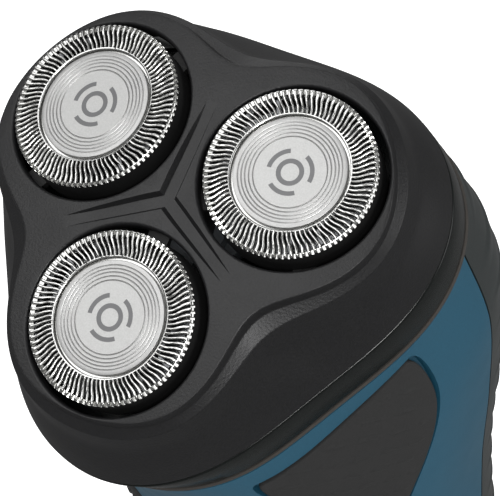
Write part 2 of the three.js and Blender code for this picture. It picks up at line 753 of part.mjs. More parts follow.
function motorRotor() {
  const armature = MOTOR_RADIUS - MOTOR_WALL - 1;
  const foot = MOTOR_UNDER + MOTOR_WALL + 0.5;
  return turned(
    [
      [0, foot],
      [SHAFT_RADIUS, foot],
      [SHAFT_RADIUS, foot + 2],
      [armature, foot + 2],
      [armature, MOTOR_TOP - MOTOR_WALL - 2],
      [SHAFT_RADIUS, MOTOR_TOP - MOTOR_WALL - 2],
      [SHAFT_RADIUS, GEAR_TOP + 0.3],
      [0, GEAR_TOP + 0.3],
    ],
    MEDIUM,
  );
}
add("motor_can", head, motorCan(), "motor_steel");
add("motor_rotor", head, motorRotor(), "motor_steel");
add("motor_pinion", head, spurGear(PINION_TEETH, SHAFT_RADIUS + FIT / 2), "brass");

// ---------------------------------------------------------------- handle surface
// Stations down the handle: centre height and y, tilt of the section's plane, half sizes, and the
// share of the head's lobed outline in a section that is otherwise a superellipse.
const SHELL_TOP_Z = COLLAR_BOTTOM_Z - 2 * GAP - NECK_GASKET;
const RIM_HALF_WIDTH = 0.945 * RIM_PEAK;
const RIM_HALF_DEPTH = (RIM_PEAK + RIM_VALLEY) / 2;
const RIM_MIDDLE = (RIM_VALLEY - RIM_PEAK) / 2 - RIM_SETBACK;

function stationFrom(entry, share) {
  return [
    entry.height ?? HEAD_HEIGHT - entry.drop,
    -(entry.forward ?? 0),
    radians(entry.tilt ?? 0),
    entry.halfWidth ?? RIM_HALF_WIDTH + entry.wider,
    entry.halfDepth ?? RIM_HALF_DEPTH + entry.deeper,
    share,
  ];
}
const STATIONS = [
  [
    HEAD_HEIGHT + RIM_MIDDLE * sin(HEAD_TILT) + SHELL_TOP_Z * cos(HEAD_TILT),
    -HEAD_FORWARD + RIM_MIDDLE * cos(HEAD_TILT) - SHELL_TOP_Z * sin(HEAD_TILT),
    HEAD_TILT,
    RIM_HALF_WIDTH - 0.5,
    RIM_HALF_DEPTH - 0.4,
    1,
  ],
  stationFrom(SHOULDER, 0.6),
  stationFrom(NECK, 0.25),
  stationFrom(UPPER_GRIP, 0),
  stationFrom(WAIST, 0),
  stationFrom(LOWER_BODY, 0),
  stationFrom({ ...FOOT, height: 0 }, 0),
];
const LAST = STATIONS.length - 1;

// A station value between the named ones, by a Catmull-Rom curve.
function stationAt(place) {
  const i = Math.min(Math.floor(place), LAST - 1);
  const t = place - i;
  const row = (k) => STATIONS[Math.max(0, Math.min(LAST, k))];
  return STATIONS[0].map((_, n) => {
    const [p0, p1, p2, p3] = [row(i - 1)[n], row(i)[n], row(i + 1)[n], row(i + 2)[n]];
    const slope1 = (p2 - p0) / 2;
    const slope2 = (p3 - p1) / 2;
    const bend = 3 * (p2 - p1) - 2 * slope1 - slope2;
    const twist = 2 * (p1 - p2) + slope1 + slope2;
    return p1 + slope1 * t + bend * t * t + twist * t * t * t;
  });
}

function bodyPoint(place, angle, inset) {
  const [height, middle, tilt, halfWidth, halfDepth, share] = stationAt(place);
  const power = 2 / SQUARENESS;
  const roundX = sign(cos(angle)) * abs(cos(angle)) ** power;
  const roundY = sign(sin(angle)) * abs(sin(angle)) ** power;
  const rim = rimPoint(angle, 0, 0);
  const across = share * (rim.x / RIM_HALF_WIDTH) + (1 - share) * roundX;
  const along = share * ((rim.y - RIM_MIDDLE) / RIM_HALF_DEPTH) + (1 - share) * roundY;
  const drawnIn = inset + share * chin(angle);
  const y = (halfDepth - drawnIn) * along;
  return new THREE.Vector3(
    (halfWidth - drawnIn) * across,
    middle + y * cos(tilt),
    height + y * sin(tilt),
  );
}

const FOOT_STATION = LAST - (BASE_THICKNESS + GAP) / LOWER_BODY.height;
const SHELL_PLACES = [0, 0.5, 1, 1.5, 2, 2.5, 3, 3.5, 4, 5, FOOT_STATION];

function handleTube(outset, inset) {
  const outer = SHELL_PLACES.map((place) => (a) => bodyPoint(place, a, -outset));
  const inner = SHELL_PLACES.map((place) => (a) => bodyPoint(place, a, inset)).reverse();
  return skin([...outer, ...inner, outer[0]], OUTLINE);
}

// ---------------------------------------------------------------- rubber grips
// The grip's edges as angles round the handle, for the right-hand side.
function gripEdges(place) {
  const along = (2 * (place - GRIP_TOP)) / (GRIP_BOTTOM - GRIP_TOP) - 1;
  const corner = (1 - abs(0.97 * along) ** 8) ** 0.125;
  const sweep = 2 * place + 1.9 * place ** 3;
  const rear = radians(355 - sweep / (1 + (sweep / 30) ** 4) ** 0.25);
  const front = radians(299);
  return { middle: (rear + front) / 2, half: ((rear - front) / 2) * corner };
}

// A patch of the handle's surface from an outset to an inset, widened all round by spare. Each
// ring runs along the outer face and back along the inner one; a ring closed to a line ends it.
const GRIP_STEPS = 10;
const GRIP_COLUMNS = 7;
const SPARE_ANGLE = 1 / 12; // radians for a millimetre of spare, at the grip's edge
const SPARE_STATION = 1 / 12;
function gripSolid(outset, inset, spare) {
  const rings = [];
  for (let i = -1; i <= GRIP_STEPS + 1; i++) {
    const step = Math.max(0, Math.min(GRIP_STEPS, i));
    const share = 0.5 - 0.5 * cos((PI * step) / GRIP_STEPS);
    const place = GRIP_TOP + (GRIP_BOTTOM - GRIP_TOP) * share;
    const { middle, half } = gripEdges(place);
    const spread = half + spare * SPARE_ANGLE;
    const shifted = place + spare * SPARE_STATION * (2 * share - 1);
    const closed = i !== step;
    rings.push((column) => {
      const outer = column < GRIP_COLUMNS;
      const stop = outer ? column : 2 * GRIP_COLUMNS - 1 - column;
      const across = (2 * stop) / (GRIP_COLUMNS - 1) - 1;
      const slant = GRIP_SLANT * ((1 - across) / 2) * (1 - share) ** 6;
      const face = outer ? -outset : inset;
      const depth = closed ? (inset - outset) / 2 : face;
      return bodyPoint(shifted + slant, middle + spread * across, depth);
    });
  }
  const slices = 2 * GRIP_COLUMNS;
  const stacks = rings.length - 1;
  const surface = (u, v, target) =>
    target.copy(rings[Math.round(v * stacks)](Math.round(u * slices) % slices));
  return solid(new ParametricGeometry(surface, slices, stacks));
}

function mirrored(body) {
  const geometry = geometryOf(body);
  geometry.applyMatrix4(new THREE.Matrix4().makeScale(-1, 1, 1));
  return solid(geometry);
}
const grip = gripSolid(GRIP_PROUD, GRIP_DEPTH - GAP, 0);
const gripPocket = gripSolid(3, GRIP_DEPTH, GAP);
add("grip_inlay_right", shaver, grip, "grip_rubber");
add("grip_inlay_left", shaver, mirrored(grip), "grip_rubber");

// ---------------------------------------------------------------- shells
const facingFront = new THREE.Matrix4().makeRotationX(PI / 2); // turns +Z to -Y
const at = (x, y, z) => new THREE.Matrix4().makeTranslation(x, y, z);
const buttonFrame = at(0, 0, BUTTON_HEIGHT).multiply(facingFront);
const lensFrame = at(0, 0, LENS_HEIGHT).multiply(facingFront);
const FRONT_AT_BUTTON = frontSurface(BUTTON_HEIGHT);
const FRONT_AT_LENS = frontSurface(LENS_HEIGHT);

// How far the handle's front stands from the axis at a height.
function frontSurface(height) {
  let low = 0;
  let high = LAST;
  for (let i = 0; i < 40; i++) {
    const place = (low + high) / 2;
    if (bodyPoint(place, 1.5 * PI, 0).z > height) low = place;
    else high = place;
  }
  return -bodyPoint(low, 1.5 * PI, 0).y;
}

const tube = handleTube(0, SHELL_WALL);
const WIDE = 100;
const TALL = 400;
const frontHalf = box(-WIDE, WIDE, -WIDE, SEAM_BACK - GAP / 2, -TALL, TALL);
const rearHalf = box(-WIDE, WIDE, SEAM_BACK + GAP / 2, WIDE, -TALL, TALL);
add(
  "front_shell",
  shaver,
  cut(
    tube.intersect(frontHalf),
    gripPocket,
    mirrored(gripPocket),
    rod(BUTTON_RADIUS + GAP, FRONT_AT_BUTTON - 6, FRONT_AT_BUTTON + 6, LARGE, buttonFrame),
    rod(LENS_RADIUS + GAP, FRONT_AT_LENS - 5, FRONT_AT_LENS + 5, SMALL, lensFrame),
  ),
  "blue_plastic",
);
add("rear_shell", shaver, tube.intersect(rearHalf), "black_plastic");

function neckGasket() {
  const top = COLLAR_BOTTOM_Z - GAP;
  const rings = [
    (a) => chinPoint(a, top, 0.8),
    (a) => chinPoint(a, top, CHAMBER_WALL),
    (a) => chinPoint(a, top - NECK_GASKET, CHAMBER_WALL),
    (a) => chinPoint(a, top - NECK_GASKET, 0.8),
  ];
  return skin([...rings, rings[0]], OUTLINE);
}
add("neck_gasket", head, neckGasket(), "seal_rubber");

// ---------------------------------------------------------------- base
const baseHoleBack = SOCKET.back - SOCKET.depth / 2;
const BASE_SCREWS = [-1, 1].map((side) => ({ x: side * 12.5, y: -7 }));

function baseCap() {
  const place = (height) => LAST - height / LOWER_BODY.height;
  const plate = skin(
    [
      pole(0, 0, 0),
      (a) => bodyPoint(LAST, a, 1),
      (a) => bodyPoint(place(1), a, 0),
      (a) => bodyPoint(place(BASE_THICKNESS), a, 0),
      (a) => bodyPoint(place(BASE_THICKNESS), a, SHELL_WALL + GAP),
      (a) => bodyPoint(place(BASE_THICKNESS + BASE_LIP), a, SHELL_WALL + GAP),
      (a) => bodyPoint(place(BASE_THICKNESS + BASE_LIP), a, 2 * SHELL_WALL),
      (a) => bodyPoint(place(BASE_THICKNESS), a, 2 * SHELL_WALL),
      pole(0, 0, BASE_THICKNESS),
    ],
    OUTLINE,
  );
  return cut(
    plate,
    box(-SOCKET.width / 2, SOCKET.width / 2, baseHoleBack, baseHoleBack + SOCKET.depth, -1, 4),
    ...BASE_SCREWS.flatMap(({ x, y }) => [
      rod(SCREW_RADIUS + 0.4, -1, BASE_THICKNESS + 1, SMALL, at(x, y, 0)),
      rod(SCREW_HEAD + 0.4, -1, BASE_THICKNESS / 2, SMALL, at(x, y, 0)),
    ]),
  );
}
add("base_cap", shaver, baseCap(), "black_plastic");

const CONTACT_THICKNESS = 0.4;
const CHASSIS_FLOOR = CELL_BASE - 2 * GAP - CONTACT_THICKNESS - CHASSIS_THICKNESS;
BASE_SCREWS.forEach(({ x, y }, i) => {
  add(
    `base_screw_${i === 0 ? "left" : "right"}`,
    shaver,
    join(
      rod(SCREW_HEAD, 0.3, BASE_THICKNESS / 2 - 0.1, SMALL, at(x, y, 0)),
      rod(SCREW_RADIUS, 1, CHASSIS_FLOOR - 2, SMALL, at(x, y, 0)),
    ),
    "motor_steel",
  );
});

// ---------------------------------------------------------------- charging socket
const SOCKET_UNDER = BASE_THICKNESS + GAP;
const SOCKET_TOP = SOCKET_UNDER + SOCKET.height + SOCKET.wall;
const pinSpot = (side) => at((side * SOCKET.width) / 4, SOCKET.back, 0);

function chargingSocket() {
  const halfX = SOCKET.width / 2;
  const halfY = SOCKET.depth / 2;
  const [x1, y0, y1] = [halfX + SOCKET.wall, SOCKET.back - halfY, SOCKET.back + halfY];
  return cut(
    box(-x1, x1, y0 - SOCKET.wall, y1 + SOCKET.wall, SOCKET_UNDER, SOCKET_TOP),
    box(-halfX, halfX, y0, y1, SOCKET_UNDER - 1, SOCKET_TOP - SOCKET.wall),
    ...[-1, 1].map((side) =>
      rod(SOCKET_PIN_RADIUS + FIT, SOCKET_TOP - 3, SOCKET_TOP + 1, SMALL, pinSpot(side)),
    ),
  );
}
add("charging_socket", shaver, chargingSocket(), "gloss_black");
for (const [name, side] of [["left", -1], ["right", 1]]) {
  const foot = SOCKET_TOP - SOCKET.wall - 2.4;
  add(
    `socket_pin_${name}`,
    shaver,
    rod(SOCKET_PIN_RADIUS, foot, SOCKET_TOP + 1.2, SMALL, pinSpot(side)),
    "brass",
  );
}

// ---------------------------------------------------------------- cells, chassis and board
const CELL_MIDDLE = 2;
const CELL_APART = CELL_RADIUS + 0.6;
const CELL_TOP = CELL_BASE + CELL_LENGTH;
for (const [name, side] of [["left", -1], ["right", 1]]) {
  const spot = at(side * CELL_APART, CELL_MIDDLE, 0);
  add(
    `battery_cell_${name}`,
    shaver,
    turned(
      [
        [0, CELL_BASE],
        [CELL_RADIUS, CELL_BASE],
        [CELL_RADIUS, CELL_TOP - 1.4],
        [CELL_RADIUS - 0.8, CELL_TOP - 1],
        [2.6, CELL_TOP - 1],
        [2.6, CELL_TOP],
        [0, CELL_TOP],
      ],
      MEDIUM,
      spot,
    ),
    "cell_wrap",
  );
}

add(
  "battery_contact_top",
  shaver,
  box(
    -CELL_APART - 3,
    CELL_APART + 3,
    CELL_MIDDLE - 3,
    CELL_MIDDLE + 3,
    CELL_TOP + GAP,
    CELL_TOP + GAP + CONTACT_THICKNESS,
  ),
  "brass",
);

for (const [name, side] of [["left", -1], ["right", 1]]) {
  const x = side * CELL_APART;
  const under = CELL_BASE - GAP - CONTACT_THICKNESS;
  const over = CELL_BASE - GAP;
  add(
    `battery_contact_${name}`,
    shaver,
    box(x - 3, x + 3, CELL_MIDDLE - 3, CELL_MIDDLE + 3, under, over),
    "brass",
  );
}

const CHASSIS_TOP = CELL_TOP + GAP + CONTACT_THICKNESS + GAP;

// What fits inside the shells with a gap all round.
function handleCore() {
  const inset = SHELL_WALL + GAP;
  const rings = SHELL_PLACES.map((place) => (a) => bodyPoint(place, a, inset));
  const [top, foot] = [STATIONS[0], stationAt(FOOT_STATION)];
  return skin([pole(0, top[1], top[0]), ...rings, pole(0, foot[1], foot[0])], OUTLINE);
}

function chassis() {
  const back = CELL_MIDDLE + CELL_RADIUS + 0.5;
  const rear = back + CHASSIS_THICKNESS;
  const halfWidth = CELL_APART + 4;
  const front = CELL_MIDDLE - CELL_RADIUS;
  const floorTop = CHASSIS_FLOOR + CHASSIS_THICKNESS;
  const roofTop = CHASSIS_TOP + CHASSIS_THICKNESS;
  const bosses = BASE_SCREWS.map(({ x, y }) =>
    rod(2.4, BASE_THICKNESS + 5, CHASSIS_FLOOR + 0.5, SMALL, at(x, y, 0)),
  );
  const bores = BASE_SCREWS.map(({ x, y }) =>
    rod(SCREW_RADIUS + FIT, 0, CHASSIS_FLOOR - 1, SMALL, at(x, y, 0)),
  );
  const frame = join(
    box(-halfWidth, halfWidth, back, rear, CHASSIS_FLOOR, roofTop),
    box(-15, 15, -8.5, back + 0.5, CHASSIS_FLOOR, floorTop),
    box(-halfWidth, halfWidth, front, back + 0.5, CHASSIS_TOP, roofTop),
    ...bosses,
  );
  return cut(frame, ...bores).intersect(handleCore());
}
add("inner_chassis", shaver, chassis(), "inner_plastic");

const BOARD_FACE = -BOARD.front;
add(
  "circuit_board",
  shaver,
  box(
    -BOARD.width / 2,
    BOARD.width / 2,
    BOARD_FACE,
    BOARD_FACE + BOARD.thickness,
    BOARD.base,
    BOARD.base + BOARD.height,
  ),
  "circuit_board",
);
const SWITCH_FACE = BOARD_FACE - 0.1 - SWITCH.depth;
add(
  "power_switch",
  shaver,
  box(
    -SWITCH.width / 2,
    SWITCH.width / 2,
    SWITCH_FACE,
    BOARD_FACE - 0.1,
    BUTTON_HEIGHT - SWITCH.width / 2,
    BUTTON_HEIGHT + SWITCH.width / 2,
  ),
  "inner_plastic",
);

function powerButton() {
  const face = FRONT_AT_BUTTON + 0.7;
  const flange = FRONT_AT_BUTTON - SHELL_WALL - 0.9;
  const stemEnd = -SWITCH_FACE + BUTTON_TRAVEL + 0.2;
  return turned(
    [
      [0, stemEnd],
      [1.5, stemEnd],
      [1.5, flange - 1],
      [BUTTON_RADIUS + 1, flange - 1],
      [BUTTON_RADIUS + 1, flange],
      [BUTTON_RADIUS, flange],
      [BUTTON_RADIUS, face - 0.8],
      [BUTTON_RADIUS - 1, face - 0.1],
      [0, face],
    ],
    LARGE,
    buttonFrame,
  );
}
add("power_button", shaver, powerButton(), "black_plastic");
add(
  "charge_light",
  shaver,
  rod(LENS_RADIUS, FRONT_AT_LENS - SHELL_WALL - 1.5, FRONT_AT_LENS + 0.2, SMALL, lensFrame),
  "lens_clear",
);

export default shaver;
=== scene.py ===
import json
import math

import bmesh
import bpy
import numpy as np
from bpy.props import FloatProperty, FloatVectorProperty, IntProperty, PointerProperty
from mathutils import Matrix, Vector


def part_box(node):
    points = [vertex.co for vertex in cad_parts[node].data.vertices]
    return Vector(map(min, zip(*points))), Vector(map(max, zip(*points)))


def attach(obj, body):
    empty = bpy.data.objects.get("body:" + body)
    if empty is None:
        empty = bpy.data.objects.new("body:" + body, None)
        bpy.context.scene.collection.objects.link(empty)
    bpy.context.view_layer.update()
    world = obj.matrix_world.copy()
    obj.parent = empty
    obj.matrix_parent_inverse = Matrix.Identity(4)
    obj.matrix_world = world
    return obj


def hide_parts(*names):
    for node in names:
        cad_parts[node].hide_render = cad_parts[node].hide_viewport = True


bl_info = {
    "name": "Rotary shaver",
    "version": (1, 0, 0),
    "blender": (4, 5, 0),
    "location": "View3D > Sidebar > Shaver",
    "description": "Builds a three-headed rotary shaver, piece by piece, around its packed frame",
    "category": "Add Mesh",
}

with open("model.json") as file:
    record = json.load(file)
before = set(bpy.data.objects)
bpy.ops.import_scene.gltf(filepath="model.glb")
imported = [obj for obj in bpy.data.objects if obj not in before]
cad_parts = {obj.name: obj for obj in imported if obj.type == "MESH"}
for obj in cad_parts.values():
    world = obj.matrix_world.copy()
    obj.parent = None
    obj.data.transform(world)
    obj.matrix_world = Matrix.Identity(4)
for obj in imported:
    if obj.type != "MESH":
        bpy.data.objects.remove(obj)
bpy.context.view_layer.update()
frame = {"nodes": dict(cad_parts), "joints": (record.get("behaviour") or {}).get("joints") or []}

MM = 0.001
TAU = 2 * math.pi
SIDES = ("right", "left", "front")
JOINTS = {joint["name"]: joint for joint in frame["joints"]}


# ------------------------------------------------------------------ places
def unit(vector):
    """The vector over its own length."""
    vector = np.asarray(vector, float)
    return vector / np.linalg.norm(vector)


class Place:
    """A set of axes in the shared frame: an origin, a Z direction, and X as near as it can be to the
    one given."""

    def __init__(self, origin, x, z):
        self.origin = np.asarray(origin, float)
        z = unit(z)
        x = unit(np.asarray(x, float) - z * np.dot(x, z))
        self.rows = np.array([x, np.cross(z, x), z])

    def world(self, local):
        """Origin plus each local coordinate times its direction."""
        return np.asarray(local, float) @ self.rows + self.origin

    def local(self, world):
        """The dot product of each direction with the step from the origin."""
        return (np.asarray(world, float) - self.origin) @ self.rows.T

    def moved(self, local, x=(1, 0, 0), z=(0, 0, 1)):
        """A place at a local point, with its X and Z given in local directions."""
        return Place(self.world(local), np.asarray(x) @ self.rows, np.asarray(z) @ self.rows)


ROOT = Place((0, 0, 0), (1, 0, 0), (0, 0, 1))
CAP_CENTRES = {side: np.array(JOINTS[f"cutter_{side}_spin"]["pos_m"]) for side in SIDES}
HEAD = Place(sum(CAP_CENTRES.values()) / len(SIDES), (1, 0, 0), JOINTS["motor_spin"]["axis"])
CAPS = {
    side: Place(CAP_CENTRES[side], CAP_CENTRES[side] - HEAD.origin, JOINTS[f"cutter_{side}_spin"]["axis"])
    for side in SIDES
}
HINGE = Place(JOINTS["shaving_unit_open"]["pos_m"], HEAD.rows[1], (1, 0, 0))
CAP_SPREAD = float(np.linalg.norm(CAP_CENTRES["right"] - HEAD.origin))
CAP_LEAN = math.acos(float(CAPS["right"].rows[2] @ HEAD.rows[2]))
HEAD_TILT = math.atan2(HEAD.rows[1][2], HEAD.rows[1][1])
FIRST_LOBE = math.atan2(*HEAD.local(CAP_CENTRES["right"])[1::-1])
LOBE_ANGLES = [FIRST_LOBE + TAU / 3 * i for i in range(3)]

# Depths below the plane of the caps' centres, and walls, as the CAD model has them.
COVER_DEPTH = 14 * MM
COVER_WALL = 1.8 * MM
GAP = 0.3 * MM
CAP_DEPTH = 5.5 * MM
CAP_WALL = 0.6 * MM
TRACK_INNER = 7.9 * MM
RIM_SETBACK = 0.6 * MM
COLLAR_TOP = -COVER_DEPTH - GAP
COLLAR_BOTTOM = COLLAR_TOP - 6.3 * MM
CHAMBER_WALL = 2.2 * MM
FLOOR_TOP = -17.8 * MM
FLOOR_UNDER = FLOOR_TOP - 1.4 * MM
FRAME_TOP = -9.6 * MM
SHELL_TOP = COLLAR_BOTTOM - 1.2 * MM
STEM_RADIUS = 1.5 * MM
SPINDLE_CLEAR = 4.4 * MM
KNUCKLE_RADIUS = 1.5 * MM
HINGE_RELIEF = 3.4 * MM
CHIN_DEPTH = 1.6 * MM
PIN_RADIUS = 0.8 * MM
HINGE_HALF_WIDTH = 10 * MM
HINGE_MIDDLE = 4.2 * MM
BASE_THICKNESS = 3 * MM
SQUARENESS = 2.5

# Where things sit on the handle and the collar, as the CAD model has them.
BUTTON_HEIGHT = 75 * MM
BUTTON_RADIUS = 7 * MM
LENS_HEIGHT = 60 * MM
LENS_RADIUS = 1.4 * MM
LOWEST_WAIST = 33 * MM
RELEASE_DROP = 17.5 * MM
RELEASE_SETBACK = 2.3 * MM
LATCH_SETBACK = 6.3 * MM
PLATE_SCREW_SPREAD = 19 * MM
BASE_SCREWS = {"left": -12.5 * MM, "right": 12.5 * MM}
BASE_SCREW_BACK = -7 * MM
SOCKET_BACK = 7.5 * MM

# The grips' ends as places along the stations of the handle, and how far the front edge drops.
GRIP_TOP = 0.2
GRIP_BOTTOM = 5.2
GRIP_SLANT = 0.27

# Columns round an outline of the head and round the handle.
LOOP = 288
BODY_LOOP = 216


# ------------------------------------------------------------------ settings
def linear(code):
    """An sRGB hex code as linear RGB: each channel over 12.92 when it is dark, else
    ((c + 0.055) / 1.055) ** 2.4."""
    shares = [int(code[i : i + 2], 16) / 255 for i in (1, 3, 5)]
    return tuple(c / 12.92 if c <= 0.04045 else ((c + 0.055) / 1.055) ** 2.4 for c in shares)


def length(name, text, value):
    """A length property whose default is given in millimetres."""
    return FloatProperty(name=name, description=text, default=value * MM, unit="LENGTH", precision=5)


def colour(name, text, code):
    """A colour property whose default is an sRGB hex code."""
    return FloatVectorProperty(
        name=name, description=text, default=linear(code), subtype="COLOR", size=3, min=0, max=1
    )


class ShaverHead(bpy.types.PropertyGroup):
    """Sizes of the shaving unit."""

    cap_radius: length("Cap radius", "Outer radius of a cap", 11.3)
    cap_proud: length("Cap height", "Cap face above the cover", 1.5)
    cap_play: length("Cap play", "Gap between a cap and the cover", 1.0)
    slot_count: IntProperty(name="Slots", description="Slots round a cap", default=90, min=12)
    slot_share: FloatProperty(
        name="Bar share", description="Bar width over slot pitch", default=0.56, subtype="FACTOR",
        min=0.2, max=0.9,
    )
    slot_bend: FloatProperty(
        name="Slot bend", description="Turn of a slot from its outer to its inner end",
        default=math.radians(3.6), subtype="ANGLE",
    )
    land_margin: length("Land margin", "Flat land outside a cap opening", 0.3)
    land_waist: length("Land waist", "Land edge outside the caps' circle, between two caps", 3.1)
    rim_flare: length("Rim flare", "Rim outside the land, at a cap", 4.2)
    waist_flare: length("Waist flare", "Rim outside the land, between two caps", 7.3)
    channel_width: length("Channel width", "Width of the three-armed channel", 2.1)
    channel_depth: length("Channel depth", "Depth of the channel at its centre", 0.75)
    channel_length: length("Channel length", "Length of an arm of the channel", 13.8)


class ShaverHandle(bpy.types.PropertyGroup):
    """Sizes of the handle."""

    wall: length("Wall", "Wall of the two shells", 2.2)
    seam: length("Seam", "The shells part this far behind the axis", 3.5)
    grip_depth: length("Grip depth", "Depth of a grip's pocket", 1.2)
    grip_proud: length("Grip height", "Grip above the shell", 0.35)
    dash_height: length("Dash height", "Height of the grip's dashes", 0.2)
    rib_pitch: length("Rib pitch", "Distance between the ribs on the back", 5.7)
    rib_height: length("Rib height", "Height of a rib", 0.22)


class ShaverFinish(bpy.types.PropertyGroup):
    """Colours of the finishes."""

    cover: colour("Cover", "Textured black moulding", "#1a1a1b")
    collar: colour("Collar", "Polished black moulding", "#0e1110")
    shell: colour("Shell", "Blue front shell", "#1d4a5e")
    rear: colour("Rear", "Charcoal rear shell", "#2c3030")
    grip: colour("Grip", "Soft grip", "#262626")
    mark: colour("Mark", "Etched mark on a cap", "#6f6f70")


class ShaverStudio(bpy.types.PropertyGroup):
    """The camera and the lights."""

    azimuth: FloatProperty(
        name="Azimuth", description="Camera round from the front, towards the right",
        default=math.radians(41.07), subtype="ANGLE",
    )
    elevation: FloatProperty(
        name="Elevation", description="Camera above the horizon", default=math.radians(49.29), subtype="ANGLE"
    )
    roll: FloatProperty(
        name="Roll", description="Camera turned clockwise about its view", default=math.radians(13.85),
        subtype="ANGLE",
    )
    distance: length("Distance", "Camera to the point it aims at", 799.7)
    lens: FloatProperty(name="Lens", description="Focal length in millimetres", default=458.5)
    dome: FloatProperty(name="Surround", description="Strength of the white surround", default=0.18, min=0)
    key: FloatProperty(
        name="Key light", description="Power of the soft key light, in watts", default=6.5, min=0
    )


def head():
    return bpy.context.scene.shaver_head


def handle():
    return bpy.context.scene.shaver_handle


def finish():
    return bpy.context.scene.shaver_finish


# ------------------------------------------------------------------ surfaces
def grid(points, closed=False):
    """Quads over a table of points, rows by columns. Closed joins the last column to the first."""
    rows, columns = points.shape[:2]
    index = np.arange(rows * columns).reshape(rows, columns)
    left = index if closed else index[:, :-1]
    right = np.roll(index, -1, 1) if closed else index[:, 1:]
    quads = np.stack([left[:-1], right[:-1], right[1:], left[1:]], -1).reshape(-1, 4)
    return points.reshape(-1, 3), quads.tolist()


def turned(profile, segments=96):
    """A profile of (radius, height) turned about Z: (r cos a, r sin a, height) at each turn a.
    The profile starts and ends on the axis, or closes on itself."""
    profile = np.asarray(profile, float)
    turn = np.arange(segments) * TAU / segments
    radius, height = profile[:, :1], profile[:, 1:]
    return grid(np.stack([radius * np.cos(turn), radius * np.sin(turn), height + 0 * turn], -1), closed=True)


def rounded(points, reach, steps=5):
    """The path through the points with each inner corner replaced by a quadratic Bezier curve, which
    leaves the path reach before the corner and joins it reach after, or at most 45% of a stretch."""
    points = np.asarray(points, float)
    reach = np.broadcast_to(reach, len(points))
    path = [points[:1]]
    share = np.linspace(0, 1, steps)[:, None]
    for i in range(1, len(points) - 1):
        before, corner, after = points[i - 1 : i + 2]
        back, on = np.linalg.norm(corner - before), np.linalg.norm(after - corner)
        start = corner + (before - corner) * min(reach[i] / back, 0.45)
        end = corner + (after - corner) * min(reach[i] / on, 0.45)
        path.append(start * (1 - share) ** 2 + 2 * corner * share * (1 - share) + end * share**2)
    path.append(points[-1:])
    return np.concatenate(path)


def prism(outline, low, high, draft=0.0):
    """An outline of (x, y) points raised from low to high, each level a flat face. Draft moves the
    upper outline outwards along its normals, and the lower one inwards by as much."""
    outline = np.asarray(outline, float)
    along = np.roll(outline, -1, 0) - np.roll(outline, 1, 0)
    normal = np.stack([along[:, 1], -along[:, 0]], -1) / np.linalg.norm(along, axis=1)[:, None]
    levels = [
        np.concatenate([outline + normal * shift, np.full((len(outline), 1), height)], 1)
        for height, shift in ((low, -draft), (high, draft))
    ]
    return layered(levels)


def rounded_box(half_x, half_y, corner, steps=6):
    """The outline of a rectangle with corners of quarter circles, counter-clockwise."""
    turn = np.linspace(0, math.pi / 2, steps)
    quarters = []
    for x, y, start in ((1, 1, 0), (-1, 1, TAU / 4), (-1, -1, TAU / 2), (1, -1, 3 * TAU / 4)):
        across = x * (half_x - corner) + corner * np.cos(turn + start)
        quarters.append(np.stack([across, y * (half_y - corner) + corner * np.sin(turn + start)], -1))
    return np.concatenate(quarters)


def layered(rings):
    """Level outlines of the same count, one above the other, closed by a flat face at each end."""
    points, faces = grid(np.stack(rings), closed=True)
    count = rings[0].shape[0]
    last = count * (len(rings) - 1)
    return points, faces + [list(range(count)), list(range(last, last + count))]


def bar(x, y, z):
    """A block between two values on each axis."""
    (x0, x1), (y0, y1), (z0, z1) = x, y, z
    return prism([(x0, y0), (x1, y0), (x1, y1), (x0, y1)], z0, z1)


def rod(radius, low, high, segments=32, edge=0.0):
    """A round rod along Z with its end edges rounded."""
    profile = [(0, low), (radius, low), (radius, high), (0, high)]
    return turned(rounded(profile, edge, 4) if edge else profile, segments)


def solid(*surfaces, place=ROOT):
    """One object that holds the surfaces, with doubles merged and every face turned outwards."""
    points, faces, count = [], [], 0
    for surface_points, surface_faces in surfaces:
        points.append(place.world(surface_points))
        faces += [[i + count for i in face] for face in surface_faces]
        count += len(surface_points)
    mesh = bpy.data.meshes.new("solid")
    mesh.from_pydata(np.concatenate(points).tolist(), [], faces)
    made = bmesh.new()
    made.from_mesh(mesh)
    bmesh.ops.remove_doubles(made, verts=made.verts, dist=0.002 * MM)
    bmesh.ops.recalc_face_normals(made, faces=made.faces)
    made.to_mesh(mesh)
    made.free()
    body = bpy.data.objects.new("solid", mesh)
    bpy.context.scene.collection.objects.link(body)
    return body


def combine(body, tools, operation="DIFFERENCE"):
    """The body with each tool cut from it, joined to it or kept in common with it."""
    for tool in tools:
        step = body.modifiers.new("combine", "BOOLEAN")
        step.operation, step.object, step.solver = operation, tool, "MANIFOLD"
    shown = body.evaluated_get(bpy.context.evaluated_depsgraph_get())
    mesh = bpy.data.meshes.new_from_object(shown)
    body.modifiers.clear()
    if not len(mesh.polygons):
        raise RuntimeError("a cut or a join left nothing")
    body.data = mesh
    for tool in tools:
        bpy.data.objects.remove(tool)
    return body


def join(*bodies):
    """The bodies as one solid."""
    return combine(bodies[0], bodies[1:], "UNION")


def piece(body, node, rides, material, place=ROOT, sharp=34):
    """Finishes a body as the piece that stands for a CAD node: material, smooth shading with edges
    sharper than an angle kept, and its points in its own place, in millimetres, as an attribute."""
    body.name = body.data.name = f"{node}_fine"
    body.data.materials.clear()
    body.data.materials.append(material)
    body.data.shade_smooth()
    body.data.set_sharp_from_angle(angle=math.radians(sharp))
    points = np.empty(len(body.data.vertices) * 3, np.float32)
    body.data.vertices.foreach_get("co", points)
    local = place.local(points.reshape(-1, 3)) / MM
    layer = body.data.attributes.new("local", "FLOAT_VECTOR", "POINT")
    layer.data.foreach_set("vector", local.astype(np.float32).ravel())
    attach(body, rides)
    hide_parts(node)
    return body


